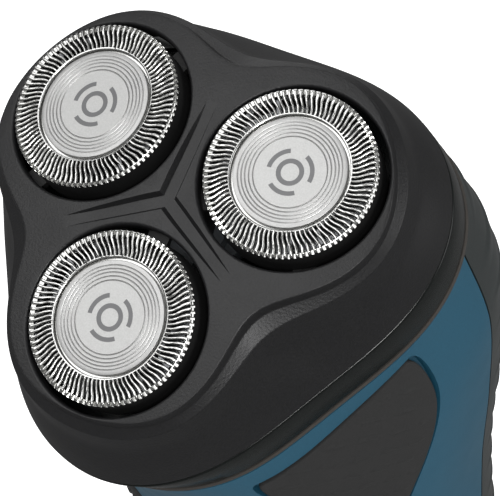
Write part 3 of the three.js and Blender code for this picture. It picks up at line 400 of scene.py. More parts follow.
# ------------------------------------------------------------------ outlines of the head
def lobed(turn, peak, valley, squareness):
    """Radius of a three-lobed outline: a middle radius, plus a cosine of three times the turn from
    the first lobe, less a cosine of six times that turn, which squares the lobes."""
    phase = turn - FIRST_LOBE
    middle, swing = (peak + valley) / 2, (peak - valley) / 2
    return middle + squareness + swing * np.cos(3 * phase) - squareness * np.cos(6 * phase)


def hole_radius():
    return head().cap_radius + head().cap_play


def land_peak():
    return CAP_SPREAD + hole_radius() + head().land_margin


def land_radius(turn):
    return lobed(turn, land_peak(), CAP_SPREAD + head().land_waist, 1 * MM)


def rim_sizes():
    """The rim's radius at a lobe and between two lobes."""
    return land_peak() + head().rim_flare, CAP_SPREAD + head().land_waist + head().waist_flare


def rim(turn, inset=0.0):
    """The rim's outline, moved in by the inset and set back from the caps' centre."""
    radius = lobed(turn, *rim_sizes(), 0) - inset
    return np.stack([radius * np.cos(turn), radius * np.sin(turn) - RIM_SETBACK], -1)


def chin(turn):
    """How far the front draws in below the rim: a depth times the 12th power of the forward share."""
    return CHIN_DEPTH * np.maximum(0, -np.sin(turn)) ** 12


def dome(radius):
    """Height of the cover's land: a paraboloid that meets each cap square to its axis."""
    return math.tan(CAP_LEAN) / (2 * CAP_SPREAD) * (CAP_SPREAD**2 - np.asarray(radius) ** 2)


def ring_at(outline, height):
    """An outline of (x, y) points at one height."""
    return np.concatenate([outline, np.full((len(outline), 1), float(height))], 1)


def pole(z, count=LOOP):
    """A ring shrunk to one point on the axis."""
    return np.tile(np.array([0, 0, z], float), (count, 1))


TURNS = np.arange(LOOP) * TAU / LOOP

# Flank between two lobes, outwards and down from the land's edge in millimetres, with the reach of
# each rounded corner: a step, a ledge, a scoop that flattens out, and an upright rim.
FLANK = [
    (-0.6, -0.09, 0),
    (0.0, 0.0, 0.3),
    (0.3, 1.28, 0.2),
    (2.3, 2.35, 0.25),
    (3.1, 6.0, 1.2),
    (5.7, 10.1, 1.6),
    (6.95, 12.6, 0.5),
    (7.3, 13.35, 0.1),
    (7.1, 13.6, 0),
]
FLANK_ACROSS, FLANK_DOWN = 7.3, 13.6


def flank(across, down, inset=0.0):
    """Points at a share of the way from the land's edge to the rim, and a share of the drop."""
    land = land_radius(TURNS)[:, None] * np.stack([np.cos(TURNS), np.sin(TURNS)], -1)
    flat = land + (rim(TURNS) - land) * across
    flat *= 1 - inset / np.linalg.norm(flat, axis=1)[:, None]
    top = dome(land_radius(TURNS))
    return np.concatenate([flat, (top + (-COVER_DEPTH - top) * down)[:, None]], 1)


def land(share, drop=0.0):
    """Points on the dome at a share of the land's radius."""
    radius = land_radius(TURNS) * share
    return np.stack([radius * np.cos(TURNS), radius * np.sin(TURNS), dome(radius) - drop], -1)


# ------------------------------------------------------------------ materials
def add_node(tree, kind, values=None, **settings):
    """Adds a node with its settings. A value is a number, a tuple or another node's output to link."""
    node = tree.nodes.new(kind)
    for key, value in settings.items():
        setattr(node, key, value)
    for key, value in (values or {}).items():
        if isinstance(value, bpy.types.NodeSocket):
            tree.links.new(value, node.inputs[key])
        else:
            node.inputs[key].default_value = value
    return node


def blank_material(name):
    """A new material's tree, its output node, and the point in millimetres as a socket."""
    made = bpy.data.materials.new(name)
    made.use_nodes = True
    tree = made.node_tree
    tree.nodes.clear()
    output = add_node(tree, "ShaderNodeOutputMaterial")
    where = add_node(tree, "ShaderNodeTexCoord").outputs["Object"]
    scaled = add_node(tree, "ShaderNodeMapping", {"Vector": where, "Scale": (1000, 1000, 1000)})
    return made, tree, output, scaled.outputs["Vector"]


def noise(tree, where, feature):
    """Noise whose features are that many millimetres across."""
    values = {"Vector": where, "Scale": 1 / feature, "Detail": 2.0}
    return add_node(tree, "ShaderNodeTexNoise", values).outputs["Fac"]


def remapped(tree, value, low, high):
    """A noise value from 0.3 to 0.7 mapped to a range from low to high."""
    return add_node(
        tree, "ShaderNodeMapRange",
        {"Value": value, "From Min": 0.3, "From Max": 0.7, "To Min": low, "To Max": high},
    ).outputs["Result"]


def mottled(tree, base, fac, spread):
    """The base colour, darker and lighter by the spread as the factor goes from 0.3 to 0.7."""
    mix = add_node(
        tree, "ShaderNodeMix",
        {
            "Factor": remapped(tree, fac, 0, 1),
            "A": tuple(c * (1 - spread) for c in base) + (1,),
            "B": tuple(min(1, c * (1 + spread)) for c in base) + (1,),
        },
        data_type="RGBA",
    )
    return mix.outputs["Result"]


def bumped(tree, height, depth):
    """A bump of that many millimetres."""
    values = {"Height": height, "Distance": depth * MM, "Strength": 1.0}
    return add_node(tree, "ShaderNodeBump", values).outputs["Normal"]


def shade(tree, output, **values):
    """A Principled shader; names with underscores are socket names with spaces."""
    named = {key.replace("_", " "): value for key, value in values.items()}
    shader = add_node(tree, "ShaderNodeBsdfPrincipled", named)
    tree.links.new(shader.outputs["BSDF"], output.inputs["Surface"])


def moulded(name, base, roughness, grain, depth, spread=0.1, ior=1.5, **more):
    """Moulded plastic or rubber with a fine even texture: grain is its width and depth its height in
    millimetres, and spread is how far its colour varies."""
    made, tree, output, where = blank_material(name)
    fine = noise(tree, where, grain)
    cloud = noise(tree, where, 6.0)
    shade(
        tree, output,
        Base_Color=mottled(tree, base, fine, spread),
        Roughness=remapped(tree, cloud, roughness - 0.03, roughness + 0.03),
        IOR=ior,
        Normal=bumped(tree, fine, depth),
        **more,
    )
    return made


def metal(name, base, roughness, grain, depth, stretch=(1, 1, 1)):
    """Metal whose fine marks are stretched along one direction."""
    made, tree, output, where = blank_material(name)
    drawn = add_node(tree, "ShaderNodeMapping", {"Vector": where, "Scale": stretch}).outputs["Vector"]
    fine = noise(tree, drawn, grain)
    shade(
        tree, output,
        Base_Color=mottled(tree, base, fine, 0.08),
        Metallic=1.0,
        Roughness=remapped(tree, fine, roughness - 0.05, roughness + 0.05),
        Normal=bumped(tree, fine, depth),
    )
    return made


def spark_eroded_abs():
    # ABS moulded in a spark-eroded tool: an even grain of 0.3 mm takes the shine off the black.
    base = tuple(finish().cover)
    return moulded("spark_eroded_abs", base, 0.44, 0.3, 0.04, 0.2, Specular_IOR_Level=0.36)


def polished_abs():
    # Polished black ABS: sharp, dark reflections with a faint waviness.
    base = tuple(finish().collar)
    return moulded("polished_abs", base, 0.24, 1.5, 0.004, Specular_IOR_Level=0.3)


def satin_blue_lacquer():
    # Satin lacquer over ABS: deep blue that pales where it mirrors the lights.
    base = tuple(finish().shell)
    return moulded("satin_blue_lacquer", base, 0.4, 0.3, 0.003, 0.06, Specular_IOR_Level=0.3)


def rear_abs():
    # Semi-gloss charcoal ABS, which greys quickly towards its edges.
    base = tuple(finish().rear)
    return moulded("semi_gloss_abs", base, 0.36, 0.3, 0.004, 0.08, Specular_IOR_Level=0.4)


def soft_grip():
    # Thermoplastic elastomer: dull and slightly dusty, with a soft sheen at the edges.
    base = tuple(finish().grip)
    return moulded("soft_grip_elastomer", base, 0.72, 0.3, 0.02, 0.12, Specular_IOR_Level=0.35)


def gasket_rubber():
    # Moulded nitrile rubber, brown-black and dull.
    return moulded("gasket_rubber", linear("#35312d"), 0.7, 0.4, 0.01)


def inner_nylon():
    # Glass-filled nylon inside the head: grey, with a slightly fibrous surface.
    return moulded("glass_filled_nylon", linear("#4c4f52"), 0.55, 0.35, 0.012, 0.12)


def natural_acetal():
    # Natural acetal: waxy off-white with a low sheen.
    return moulded("natural_acetal", linear("#ddd8cb"), 0.42, 0.6, 0.004, 0.03, 1.48, Subsurface_Weight=0.05)


def nickel_foil():
    # Electroformed nickel of the cap tracks: bright, with fine wear marks of 0.15 mm.
    return metal("electroformed_nickel", linear("#c6c6c4"), 0.22, 0.15, 0.002)


def gap_shade_black():
    # Near-black dull plastic on a cap's wall below its track, darker than the cover: painted shade of the gap
    # between the cap and the cover.
    return moulded("painted_gap_shade", linear("#0c0c0c"), 0.6, 0.4, 0.004)


def ground_steel():
    # Ground stainless steel of the cutter blades.
    return metal("ground_stainless_steel", linear("#6d6e70"), 0.34, 0.12, 0.002, (1, 6, 1))


def zinc_steel():
    # Zinc-plated pressed steel, for the motor can, the hinge pin and the screws.
    return metal("zinc_plated_steel", linear("#b3b4b2"), 0.34, 0.5, 0.002)


def brass():
    # Stamped brass, slightly dulled.
    return metal("stamped_brass", linear("#b5924f"), 0.34, 0.4, 0.002)


def cell_wrap():
    # Green PVC shrink wrap on the cells.
    return moulded("pvc_shrink_wrap", linear("#2f7a50"), 0.3, 2.0, 0.01, 0.05)


def solder_mask():
    # Green solder mask over woven glass fibre.
    return moulded("solder_mask", linear("#1e5c36"), 0.32, 0.8, 0.006, 0.1)


def clear_lens():
    # Clear polycarbonate light pipe.
    made, tree, output, where = blank_material("clear_polycarbonate")
    shade(
        tree, output,
        Base_Color=linear("#b9dfe6") + (1,),
        Roughness=0.08,
        IOR=1.58,
        Transmission_Weight=0.6,
        Normal=bumped(tree, noise(tree, where, 0.8), 0.002),
    )
    return made


def satin_disc():
    """Satin steel with fine circular marks, and an etched mark of a ring and three arcs: bands of the
    distance from the cap's own axis, the arcs where the cosine of three times the turn is high."""
    # Turned stainless steel, bead-blasted afterwards: light grey, with an even fine sparkle.
    made, tree, output, where = blank_material("satin_stainless_steel")
    local = add_node(tree, "ShaderNodeAttribute", attribute_name="local").outputs["Vector"]
    parts = add_node(tree, "ShaderNodeSeparateXYZ", {"Vector": local}).outputs

    def compute(operation, a, b=0.0, c=0.0):
        node = add_node(tree, "ShaderNodeMath", operation=operation)
        for socket, value in zip(node.inputs, (a, b, c)):
            if isinstance(value, bpy.types.NodeSocket):
                tree.links.new(value, socket)
            else:
                socket.default_value = value
        return node.outputs["Value"]

    squares = [compute("POWER", parts[axis], 2) for axis in "XY"]
    radius = compute("SQRT", compute("ADD", *squares))
    turn = compute("ARCTAN2", parts["Y"], parts["X"])

    def band(value, middle, half):
        return compute("LESS_THAN", compute("ABSOLUTE", compute("SUBTRACT", value, middle)), half)

    ring = band(radius, 1.5, 0.32)
    wave = compute("COSINE", compute("MULTIPLY", turn, 3.0))
    arcs = compute("MULTIPLY", band(radius, 2.85, 0.3), compute("GREATER_THAN", wave, -0.35))
    mark = compute("MAXIMUM", ring, arcs)
    polar = add_node(tree, "ShaderNodeCombineXYZ", {"X": radius, "Y": compute("MULTIPLY", turn, 0.4)})
    circles = noise(tree, polar.outputs["Vector"], 1 / 9)
    blasted = noise(tree, where, 0.2)
    steel = mottled(tree, linear("#b4b4b3"), blasted, 0.06)
    etched = {"Factor": mark, "A": steel, "B": tuple(finish().mark) + (1,)}
    base = add_node(tree, "ShaderNodeMix", etched, data_type="RGBA").outputs["Result"]
    shade(
        tree, output,
        Base_Color=base,
        Metallic=1.0,
        Roughness=remapped(tree, circles, 0.48, 0.54),
        Normal=bumped(tree, blasted, 0.006),
    )
    return made


_made = {}


def material(maker):
    """The material that a maker gives, made once."""
    if maker not in _made:
        _made[maker] = maker()
    return _made[maker]


# ------------------------------------------------------------------ head cover
def hole_tool(side):
    """What a cap opening takes away: a bore whose mouth turns outwards in a quarter circle."""
    lip, radius = 0.45 * MM, hole_radius()
    low, turn = -1.05 * MM, np.linspace(math.pi, math.pi / 2, 8)
    arc = [(radius + lip + lip * math.cos(a), low + lip * math.sin(a)) for a in turn]
    top = 3.5 * MM
    profile = [(0, -CAP_DEPTH), (radius, -CAP_DEPTH), *arc, (radius + lip, top), (0, top)]
    return solid(turned(profile, 144), place=CAPS[side])


def channel_tool():
    """The channel between the caps: a Y of three drafted arms above a floor that rises to the land.
    The floor lies below the dome by the depth times one less the cube of the share of the length."""
    sizes = head()
    half, reach = sizes.channel_width / 2, sizes.channel_length + 1 * MM
    path = []
    for middle in (angle + TAU / 6 for angle in LOBE_ANGLES):
        across = np.array([-math.sin(middle), math.cos(middle)])
        end = reach * np.array([math.cos(middle), math.sin(middle)])
        inner = half / math.sin(TAU / 6) * np.array([math.cos(middle + TAU / 6), math.sin(middle + TAU / 6)])
        path += [end - half * across, end + half * across, inner]
    path = np.array(path)
    start = (path[0] + path[1]) / 2
    reaches = [0, 0] + [0 if i % 3 != 2 else 1.5 * MM for i in range(1, len(path))] + [0, 0]
    outline = rounded([start, *path[1:], path[0], start], reaches[: len(path) + 2], 7)[:-1]
    keep = np.linalg.norm(outline - np.roll(outline, 1, 0), axis=1) > 0.01 * MM
    arms = solid(prism(outline[keep], -0.3 * MM, 1.7 * MM, 0.75 * MM), place=HEAD)
    share = np.linspace(0, 1, 16)
    radius = sizes.channel_length * share
    floor = np.stack([radius, dome(radius) - sizes.channel_depth * (1 - share**3)], 1)
    high, outer = 3.5 * MM, radius[-1] + 3 * MM
    above = solid(turned([*floor, (outer, floor[-1][1]), (outer, high), (0, high)], 144), place=HEAD)
    return combine(above, [arms], "INTERSECT")


def knuckle(x0, x1, depth, height):
    """A hinge barrel from x0 to x1, and its arm between two depths past the axis and two heights."""
    back = float(HEAD.local(HINGE.origin)[1])
    return [
        solid(rod(KNUCKLE_RADIUS, x0, x1, 40, 0.15 * MM), place=HINGE),
        solid(bar((x0, x1), (back + depth[0], back + depth[1]), height), place=HEAD),
    ]


def pin_bore():
    return solid(rod(PIN_RADIUS + 0.1 * MM, -11 * MM, 11 * MM), place=HINGE)


PARTING = -COVER_DEPTH - GAP / 2


def make_cover():
    """The cover: land, flank and wall as rings of one skin, with a sleeve for the lock, the latch hook
    and two hinge barrels joined to it, and the openings and the channel cut from it."""
    path = rounded([point[:2] for point in FLANK], [point[2] for point in FLANK], 7)
    inside = COVER_WALL
    rings = [pole(dome(0))]
    rings += [land(share) for share in (0.15, 0.3, 0.45, 0.6, 0.72, 0.82, 0.9, 0.95)]
    rings += [flank(across / FLANK_ACROSS, down / FLANK_DOWN) for across, down in path]
    rings += [flank(1, 1, 0.25 * MM)]
    lining = ((1, 1), (0.94, 0.8), (0.78, 0.62), (0.34, 0.34))
    rings += [flank(across, down, inside) for across, down in lining]
    rings += [land(0.97, inside), land(0.5, inside), pole(dome(0) - inside)]
    latch = -(rim_sizes()[0] + RIM_SETBACK - LATCH_SETBACK)
    hook = (-3 * MM, 3 * MM)
    foot = (-COVER_DEPTH - 2.6 * MM, -COVER_DEPTH + 0.1 * MM)
    shelf = (-COVER_DEPTH, -COVER_DEPTH + 1.6 * MM)
    middle = HINGE_MIDDLE + GAP
    arm = ((-1 * MM, 1 * MM), (PARTING + GAP, PARTING + KNUCKLE_RADIUS + 0.6 * MM))
    skin = solid(grid(np.stack(rings), closed=True), place=HEAD)
    combine(skin, [solid(rod(KNUCKLE_RADIUS + GAP, -middle, middle, 40), place=HINGE)])
    body = join(
        skin,
        solid(rod(3 * MM, FRAME_TOP + GAP, dome(0) - inside / 2), place=HEAD),
        solid(bar(hook, (latch - 1.2 * MM, latch), foot), place=HEAD),
        solid(bar(hook, (latch - 4.7 * MM, latch), shelf), place=HEAD),
        *knuckle(middle, HINGE_HALF_WIDTH, *arm),
        *knuckle(-HINGE_HALF_WIDTH, -middle, *arm),
    )
    bore = solid(rod(STEM_RADIUS + GAP, FRAME_TOP - 1 * MM, FRAME_TOP + 4 * MM), place=HEAD)
    combine(body, [*(hole_tool(side) for side in SIDES), channel_tool(), bore, pin_bore()])
    return piece(body, "head_cover", "shaving_unit", material(spark_eroded_abs), HEAD)


# ------------------------------------------------------------------ caps
def slot_tool():
    """The slots round a cap, cut down through its rounded edge, with flared mouths that leave rounded
    bars. A slot starts radially at the edge, turns through the bend angle by a smoothstep of its way
    in, and ends radially."""
    sizes = head()
    radii = np.linspace(sizes.cap_radius + 0.5 * MM, TRACK_INNER + 0.05 * MM, 14)
    way = np.clip((10.5 * MM - radii) / (2.3 * MM), 0, 1)
    turn = -sizes.slot_bend * way**2 * (3 - 2 * way)
    half = TAU / sizes.slot_count * (1 - sizes.slot_share) / 2
    top = sizes.cap_proud
    levels = [(-0.66, 0), (-0.2, 0), (-0.06, 0.05), (0, 0.1), (1, 0.12)]
    surfaces = []
    for index in range(sizes.slot_count):
        rings = []
        for height, flare in levels:
            spread = half + flare * MM / radii
            angle = np.concatenate([turn - spread, (turn + spread)[::-1]]) + TAU / sizes.slot_count * index
            radius = np.concatenate([radii, radii[::-1]])
            outline = np.stack([radius * np.cos(angle), radius * np.sin(angle)], 1)
            rings.append(ring_at(outline, top + height * MM))
        surfaces.append(layered(rings))
    return surfaces


def make_caps(side):
    """A cap: a turned cup with a slotted track and three lugs, and the grooved disc in its middle."""
    sizes = head()
    radius, top, wall = sizes.cap_radius, sizes.cap_proud, CAP_WALL
    seat, inner = top - 0.65 * MM, TRACK_INNER
    edge, skirt = 0.5 * MM, top - CAP_DEPTH
    turn = np.linspace(0, math.pi / 2, 7)
    profile = [
        (0, seat - wall), (inner, seat - wall), (inner, top - wall), (radius - wall, top - wall),
        (radius - wall, skirt), (radius, skirt), (radius, top - 1.2 * MM), (radius, top - 0.8 * MM),
        *[(radius - edge + edge * math.cos(a), top - edge + edge * math.sin(a)) for a in turn],
        (inner - 0.12 * MM, top), (inner - 0.2 * MM, top - 0.1 * MM), (inner - 0.24 * MM, seat), (0, seat),
    ]
    body = solid(turned(profile, 180), place=CAPS[side])
    lug = bar((radius - 0.3 * MM, radius + 1.3 * MM), (-1.5 * MM, 1.5 * MM), (skirt, skirt + 0.9 * MM))
    spokes = [
        CAPS[side].moved((0, 0, 0), (math.cos(angle), math.sin(angle), 0))
        for angle in (TAU / 4, TAU / 2, 3 * TAU / 4)
    ]
    join(body, *(solid(lug, place=spoke) for spoke in spokes))
    combine(body, [solid(*slot_tool(), place=CAPS[side])])
    rides = f"cap_{side}"
    piece(body, f"cap_guard_{side}", rides, material(nickel_foil), CAPS[side], 62)
    # The cap's wall and underside take a near-black finish, painted shade of the gap under the cover.
    paint_gap_shade(body, top - 0.36 * MM)

    # Grooves as a share of the cap's radius and a depth in millimetres, from the outside in.
    grooves = [(0.594, 0.05), (0.553, 0.06), (0.513, 0.06), (0.468, 0.07), (0.423, 0.1)]
    face, low, outer = top - 0.03 * MM, top - 0.55 * MM, inner - 0.5 * MM
    profile = [
        (0, low), (outer, low), (outer, face - 0.14 * MM), (outer - 0.04 * MM, face - 0.04 * MM),
        (outer - 0.14 * MM, face),
    ]
    for share, depth in grooves:
        middle = radius * share
        profile += [(middle + 0.1 * MM, face), (middle, face - depth * MM), (middle - 0.1 * MM, face)]
    disc = solid(turned([*profile, (0, face)], 180), place=CAPS[side])
    piece(disc, f"cap_disc_{side}", rides, material(satin_disc), CAPS[side], 25)


def paint_gap_shade(body, height):
    """Gives the faces of a cap outside its track, and below a height in its own place, a near-black material:
    painted shade of the gap between the cap and the cover.
    """
    body.data.materials.append(material(gap_shade_black))
    local = np.empty(len(body.data.vertices) * 3, np.float32)
    body.data.attributes["local"].data.foreach_get("vector", local)
    local = local.reshape(-1, 3)
    low = local[:, 2] < height / MM + 0.01
    side = np.hypot(local[:, 0], local[:, 1]) > (head().cap_radius - CAP_WALL) / MM + 0.3
    below = low & side | (local[:, 2] < height / MM - 1.5)
    corners = np.empty(len(body.data.loops), np.int32)
    body.data.loops.foreach_get("vertex_index", corners)
    starts = np.empty(len(body.data.polygons), np.int32)
    body.data.polygons.foreach_get("loop_start", starts)
    gap_shaded_faces = np.minimum.reduceat(below[corners], starts)
    body.data.polygons.foreach_set("material_index", gap_shaded_faces.astype(np.int32))


# ------------------------------------------------------------------ hair chamber, release button, gasket
def rim_ring(inset, height):
    """The rim's outline, moved in and at a height."""
    return ring_at(rim(TURNS, inset), height)


def make_chamber():
    """The hair chamber, a tray whose wall follows the rim and draws in at the chin, with posts below
    its floor for the gear plate; and the release button and the gasket."""
    wall, edge, drawn = CHAMBER_WALL, 0.35 * MM, chin(TURNS)
    turn = np.linspace(0, math.pi / 2, 5)
    rings = [
        pole(FLOOR_UNDER), rim_ring(wall + drawn, FLOOR_UNDER), rim_ring(wall + drawn, COLLAR_BOTTOM),
        rim_ring(0.6 * MM + drawn, COLLAR_BOTTOM), rim_ring(0.4 * MM + drawn, COLLAR_BOTTOM + 0.2 * MM),
        rim_ring(0.1 * MM + drawn * 0.5, COLLAR_BOTTOM + 3 * MM),
    ]
    rings += [rim_ring(edge * (1 - math.cos(a)), COLLAR_TOP - edge + edge * math.sin(a)) for a in turn]
    rings += [rim_ring(wall, COLLAR_TOP), rim_ring(wall, FLOOR_TOP), pole(FLOOR_TOP)]
    posts = [screw_place(angle) for angle in LOBE_ANGLES]
    plate_top = FLOOR_UNDER - 4 * MM
    skin = solid(grid(np.stack(rings), closed=True), place=HEAD)
    combine(skin, [solid(rod(HINGE_RELIEF, -21 * MM, 21 * MM, 96), place=HINGE)])
    body = join(
        skin,
        *(solid(rod(2.6 * MM, plate_top + GAP, FLOOR_TOP - 0.2 * MM), place=post) for post in posts),
        *knuckle(
            -HINGE_MIDDLE, HINGE_MIDDLE, (-KNUCKLE_RADIUS, -0.6 * MM),
            (PARTING - HINGE_RELIEF - 0.4 * MM, PARTING - 0.2 * MM),
        ),
    )
    face = rim_sizes()[0] + RIM_SETBACK - RELEASE_SETBACK
    front = HEAD.moved((0, -face, -RELEASE_DROP), (1, 0, 0), (0, -1, 0))
    half = np.array([4.5, 2.1]) * MM
    window = prism(rounded_box(*(half + GAP), 1.2 * MM), -2.7 * MM, 4.36 * MM)
    bore = rod(SPINDLE_CLEAR, FLOOR_UNDER - 3 * MM, FLOOR_TOP + 3 * MM, 64)
    tools = [solid(bore, place=CAPS[side]) for side in SIDES]
    tools += [solid(rod(1.1 * MM, plate_top - 1 * MM, FLOOR_UNDER + 0.2 * MM), place=post) for post in posts]
    combine(body, [*tools, solid(window, place=front), pin_bore()])
    piece(body, "hair_chamber", "handle", material(polished_abs), HEAD)

    levels = [(0, -1.4), (0, -0.35), (0.06, -0.14), (0.2, -0.03), (0.4, 0)]
    outline = rounded_box(*half, 1 * MM)
    rings = [ring_at(outline * (1 - inset * MM / half), height * MM) for inset, height in levels]
    button = solid(layered(rings), place=front)
    piece(button, "release_button", "release_button", material(spark_eroded_abs), front)

    top = COLLAR_BOTTOM - GAP
    low = top - 0.6 * MM
    path = [
        (0.45 * MM, top), (0.25 * MM, top - 0.2 * MM), (0.25 * MM, low + 0.2 * MM), (0.45 * MM, low),
        (wall, low), (wall, top), (0.45 * MM, top),
    ]
    rings = [rim_ring(inset + drawn, height) for inset, height in path]
    gasket = solid(grid(np.stack(rings), closed=True), place=HEAD)
    piece(gasket, "neck_gasket", "handle", material(gasket_rubber), HEAD)


def screw_place(angle):
    """The place of the gear plate screw opposite a cap."""
    middle = angle + TAU / 6
    return HEAD.moved((PLATE_SCREW_SPREAD * math.cos(middle), PLATE_SCREW_SPREAD * math.sin(middle), 0))


# ------------------------------------------------------------------ handle surface
def rim_box():
    """The rim's half width, half depth and the middle of its depth: the lobes at the sides reach 0.945
    of their radius across."""
    peak, valley = rim_sizes()
    return 0.945 * peak, (peak + valley) / 2, (valley - peak) / 2 - RIM_SETBACK


def stations():
    """Rows of height, middle, tilt, half width, half depth and the share of the head's outline."""
    wide, deep, middle = rim_box()
    top = HEAD.world((0, middle, SHELL_TOP))
    centre = HEAD.origin[2]

    def row(drop, forward, tilt, half_width, half_depth, share):
        return [centre - drop * MM, -forward * MM, math.radians(tilt), half_width, half_depth, share]

    return np.array([
        [top[2], top[1], HEAD_TILT, wide - 0.5 * MM, deep - 0.4 * MM, 1],
        row(31, 5.5, 17, wide + 1.3 * MM, deep - 2.1 * MM, 0.6),
        row(45, 2.2, 10, wide - 1.2 * MM, deep - 5.6 * MM, 0.25),
        row(62, 0.5, 6, 26.5 * MM, 20 * MM, 0),
        row(82, 0, 3, 24 * MM, 18 * MM, 0),
        [LOWEST_WAIST, 0, 0, 23 * MM, 17 * MM, 0],
        [0, 0, 0, 22 * MM, 16.5 * MM, 0],
    ])


def body_surface(place, turn, inset):
    """Points of the handle. Between stations the values follow a Catmull-Rom curve; round a section
    they mix the head's outline with a superellipse by the station's share."""
    place, turn, inset = np.broadcast_arrays(np.asarray(place, float), turn, inset)
    rows = stations()
    last = len(rows) - 1
    i = np.clip(np.floor(place).astype(int), 0, last - 1)
    t = (place - i)[..., None]
    p0, p1, p2, p3 = (rows[np.clip(i + step, 0, last)] for step in (-1, 0, 1, 2))
    slope1, slope2 = (p2 - p0) / 2, (p3 - p1) / 2
    square, cube = 3 * (p2 - p1) - 2 * slope1 - slope2, 2 * (p1 - p2) + slope1 + slope2
    value = p1 + slope1 * t + square * t**2 + cube * t**3
    height, middle, tilt, half_width, half_depth, share = np.moveaxis(value, -1, 0)
    wide, deep, centre = rim_box()
    outline = rim(turn)
    power = 2 / SQUARENESS
    cos, sin = np.cos(turn), np.sin(turn)
    across = share * outline[..., 0] / wide + (1 - share) * np.sign(cos) * np.abs(cos) ** power
    along = share * (outline[..., 1] - centre) / deep + (1 - share) * np.sign(sin) * np.abs(sin) ** power
    drawn = inset + share * chin(turn)
    reach = (half_depth - drawn) * along
    side = (half_width - drawn) * across
    return np.stack([side, middle + reach * np.cos(tilt), height + reach * np.sin(tilt)], -1)


LAST = 6
FOOT_STATION = LAST - (BASE_THICKNESS + GAP) / LOWEST_WAIST


def station_at(height):
    """The station place whose middle has that height, found by halving."""
    low, high = 0.0, float(LAST)
    for _ in range(40):
        middle = (low + high) / 2
        if body_surface(middle, 1.5 * math.pi, 0.0)[2] > height:
            low = middle
        else:
            high = middle
    return low


def tube(rib=0.0):
    """The handle's wall: an outer skin, its rounded ends and the inner skin. Ribs, if any, stand on
    the back of the outer skin: each rises over the first 0.3 of its pitch and falls over the next 0.1."""
    sizes = handle()
    edge = 0.3 * MM
    count = 420 if rib else 150
    places = np.linspace(0, FOOT_STATION, count)
    turn = np.arange(BODY_LOOP) * TAU / BODY_LOOP
    outer = body_surface(places[:, None], turn[None, :], 0.0)
    if rib:
        share = (outer[..., 2] / sizes.rib_pitch) % 1
        bump = np.clip(np.minimum(share / 0.3, (0.4 - share) / 0.1), 0, 1)
        near = np.clip((outer[..., 1] - sizes.seam - 2 * MM) / (3 * MM), 0, 1)
        ends = np.clip(np.minimum(places - 0.25, FOOT_STATION - 0.1 - places) / 0.1, 0, 1)[:, None]
        raised = body_surface(places[:, None], turn[None, :], -rib)
        outer = outer + (raised - outer) * (bump * near * ends)[..., None]
    inner = body_surface(np.linspace(0, FOOT_STATION, 60)[::-1, None], turn[None, :], sizes.wall)
    top = body_surface(0.0, turn, edge)[None]
    foot = body_surface(FOOT_STATION, turn, 0.15 * MM)[None]
    outer[0] = body_surface(edge / (30 * MM), turn, 0.0)
    skin = np.concatenate([top, outer, foot, inner, top])
    return solid(grid(skin, closed=True))


def grip_edges(place):
    """Middle and half width, as angles round the handle, of the right grip at a station place."""
    along = 2 * (place - GRIP_TOP) / (GRIP_BOTTOM - GRIP_TOP) - 1
    corner = (1 - np.abs(0.985 * along) ** 16) ** 0.0625
    sweep = 2 * place + 1.9 * place**3
    rear = np.radians(355 - sweep / (1 + (sweep / 30) ** 4) ** 0.25)
    front = math.radians(299)
    return (rear + front) / 2, (rear - front) / 2 * corner


def grip_patch(outset, inset, spare, side, columns, rows, edge=0.0, dashes=0.0):
    """A patch of the handle's surface between two depths, widened all round by spare. Its outer edge
    is rounded over an edge width as a quarter circle; dashes stand on it in staggered rows that slant
    across it, each with sloping sides."""
    step = 0.5 - 0.5 * np.cos(np.linspace(0, math.pi, rows))
    place = GRIP_TOP + (GRIP_BOTTOM - GRIP_TOP) * step
    middle, half = grip_edges(place)
    spread = half + spare / (12 * MM)
    shifted = place + spare / (12 * MM) * (2 * step - 1)
    across = np.sin(np.linspace(-math.pi / 2, math.pi / 2, columns) * 0.9) / math.sin(math.pi / 2 * 0.9)
    turn = middle[:, None] + spread[:, None] * across
    shifted = shifted[:, None] + GRIP_SLANT * (1 - across) / 2 * (1 - step[:, None]) ** 6
    face = body_surface(shifted, turn, -outset)
    back = body_surface(shifted, turn, inset)
    if edge:
        width = spread[:, None] * 26 * MM * (1 - np.abs(across))
        span = np.minimum(step, 1 - step)[:, None] * 110 * MM + 0 * width
        near = np.clip(np.minimum(width, span) / edge, 0, 1)
        drop = 1 - np.sqrt(1 - (1 - near) ** 2)
        face = face + (body_surface(shifted, turn, -outset + edge) - face) * drop[..., None]
    if dashes:
        high = face[..., 2] / (3.2 * MM)
        wide = (turn - middle[:, None]) * 24 / 3.6
        row = np.floor(high + 0.35 * wide)
        u = (wide + 0.5 * (row % 2)) % 1 - 0.5
        v = (high + 0.35 * wide) % 1 - 0.5
        mark = np.clip((0.11 - np.abs(v)) / 0.06, 0, 1) * np.clip((0.36 - np.abs(u)) / 0.1, 0, 1)
        inner = np.clip(np.minimum(width, span) / (1.5 * MM) - 1, 0, 1)
        lifted = body_surface(shifted, turn, -outset - dashes)
        face = face + (lifted - face) * (mark * inner)[..., None]
    if side == "left":
        face, back = face * [-1, 1, 1], back * [-1, 1, 1]
    front_points, front_faces = grid(face)
    back_points, back_faces = grid(back)
    count = len(front_points)
    index = np.arange(count).reshape(rows, columns)
    border = np.concatenate([index[0, :-1], index[:-1, -1], index[-1, :0:-1], index[:0:-1, 0]])
    following = np.roll(border, -1)
    walls = np.stack([border, following, following + count, border + count], 1)
    faces = front_faces + [[i + count for i in face] for face in back_faces] + walls.tolist()
    return np.concatenate([front_points, back_points]), faces


def on_front(height):
    """A place on the handle's front at a height, with its Z out of the front."""
    face = float(body_surface(station_at(height), 1.5 * math.pi, 0.0)[1])
    return ROOT.moved((0, face, height), (1, 0, 0), (0, -1, 0))


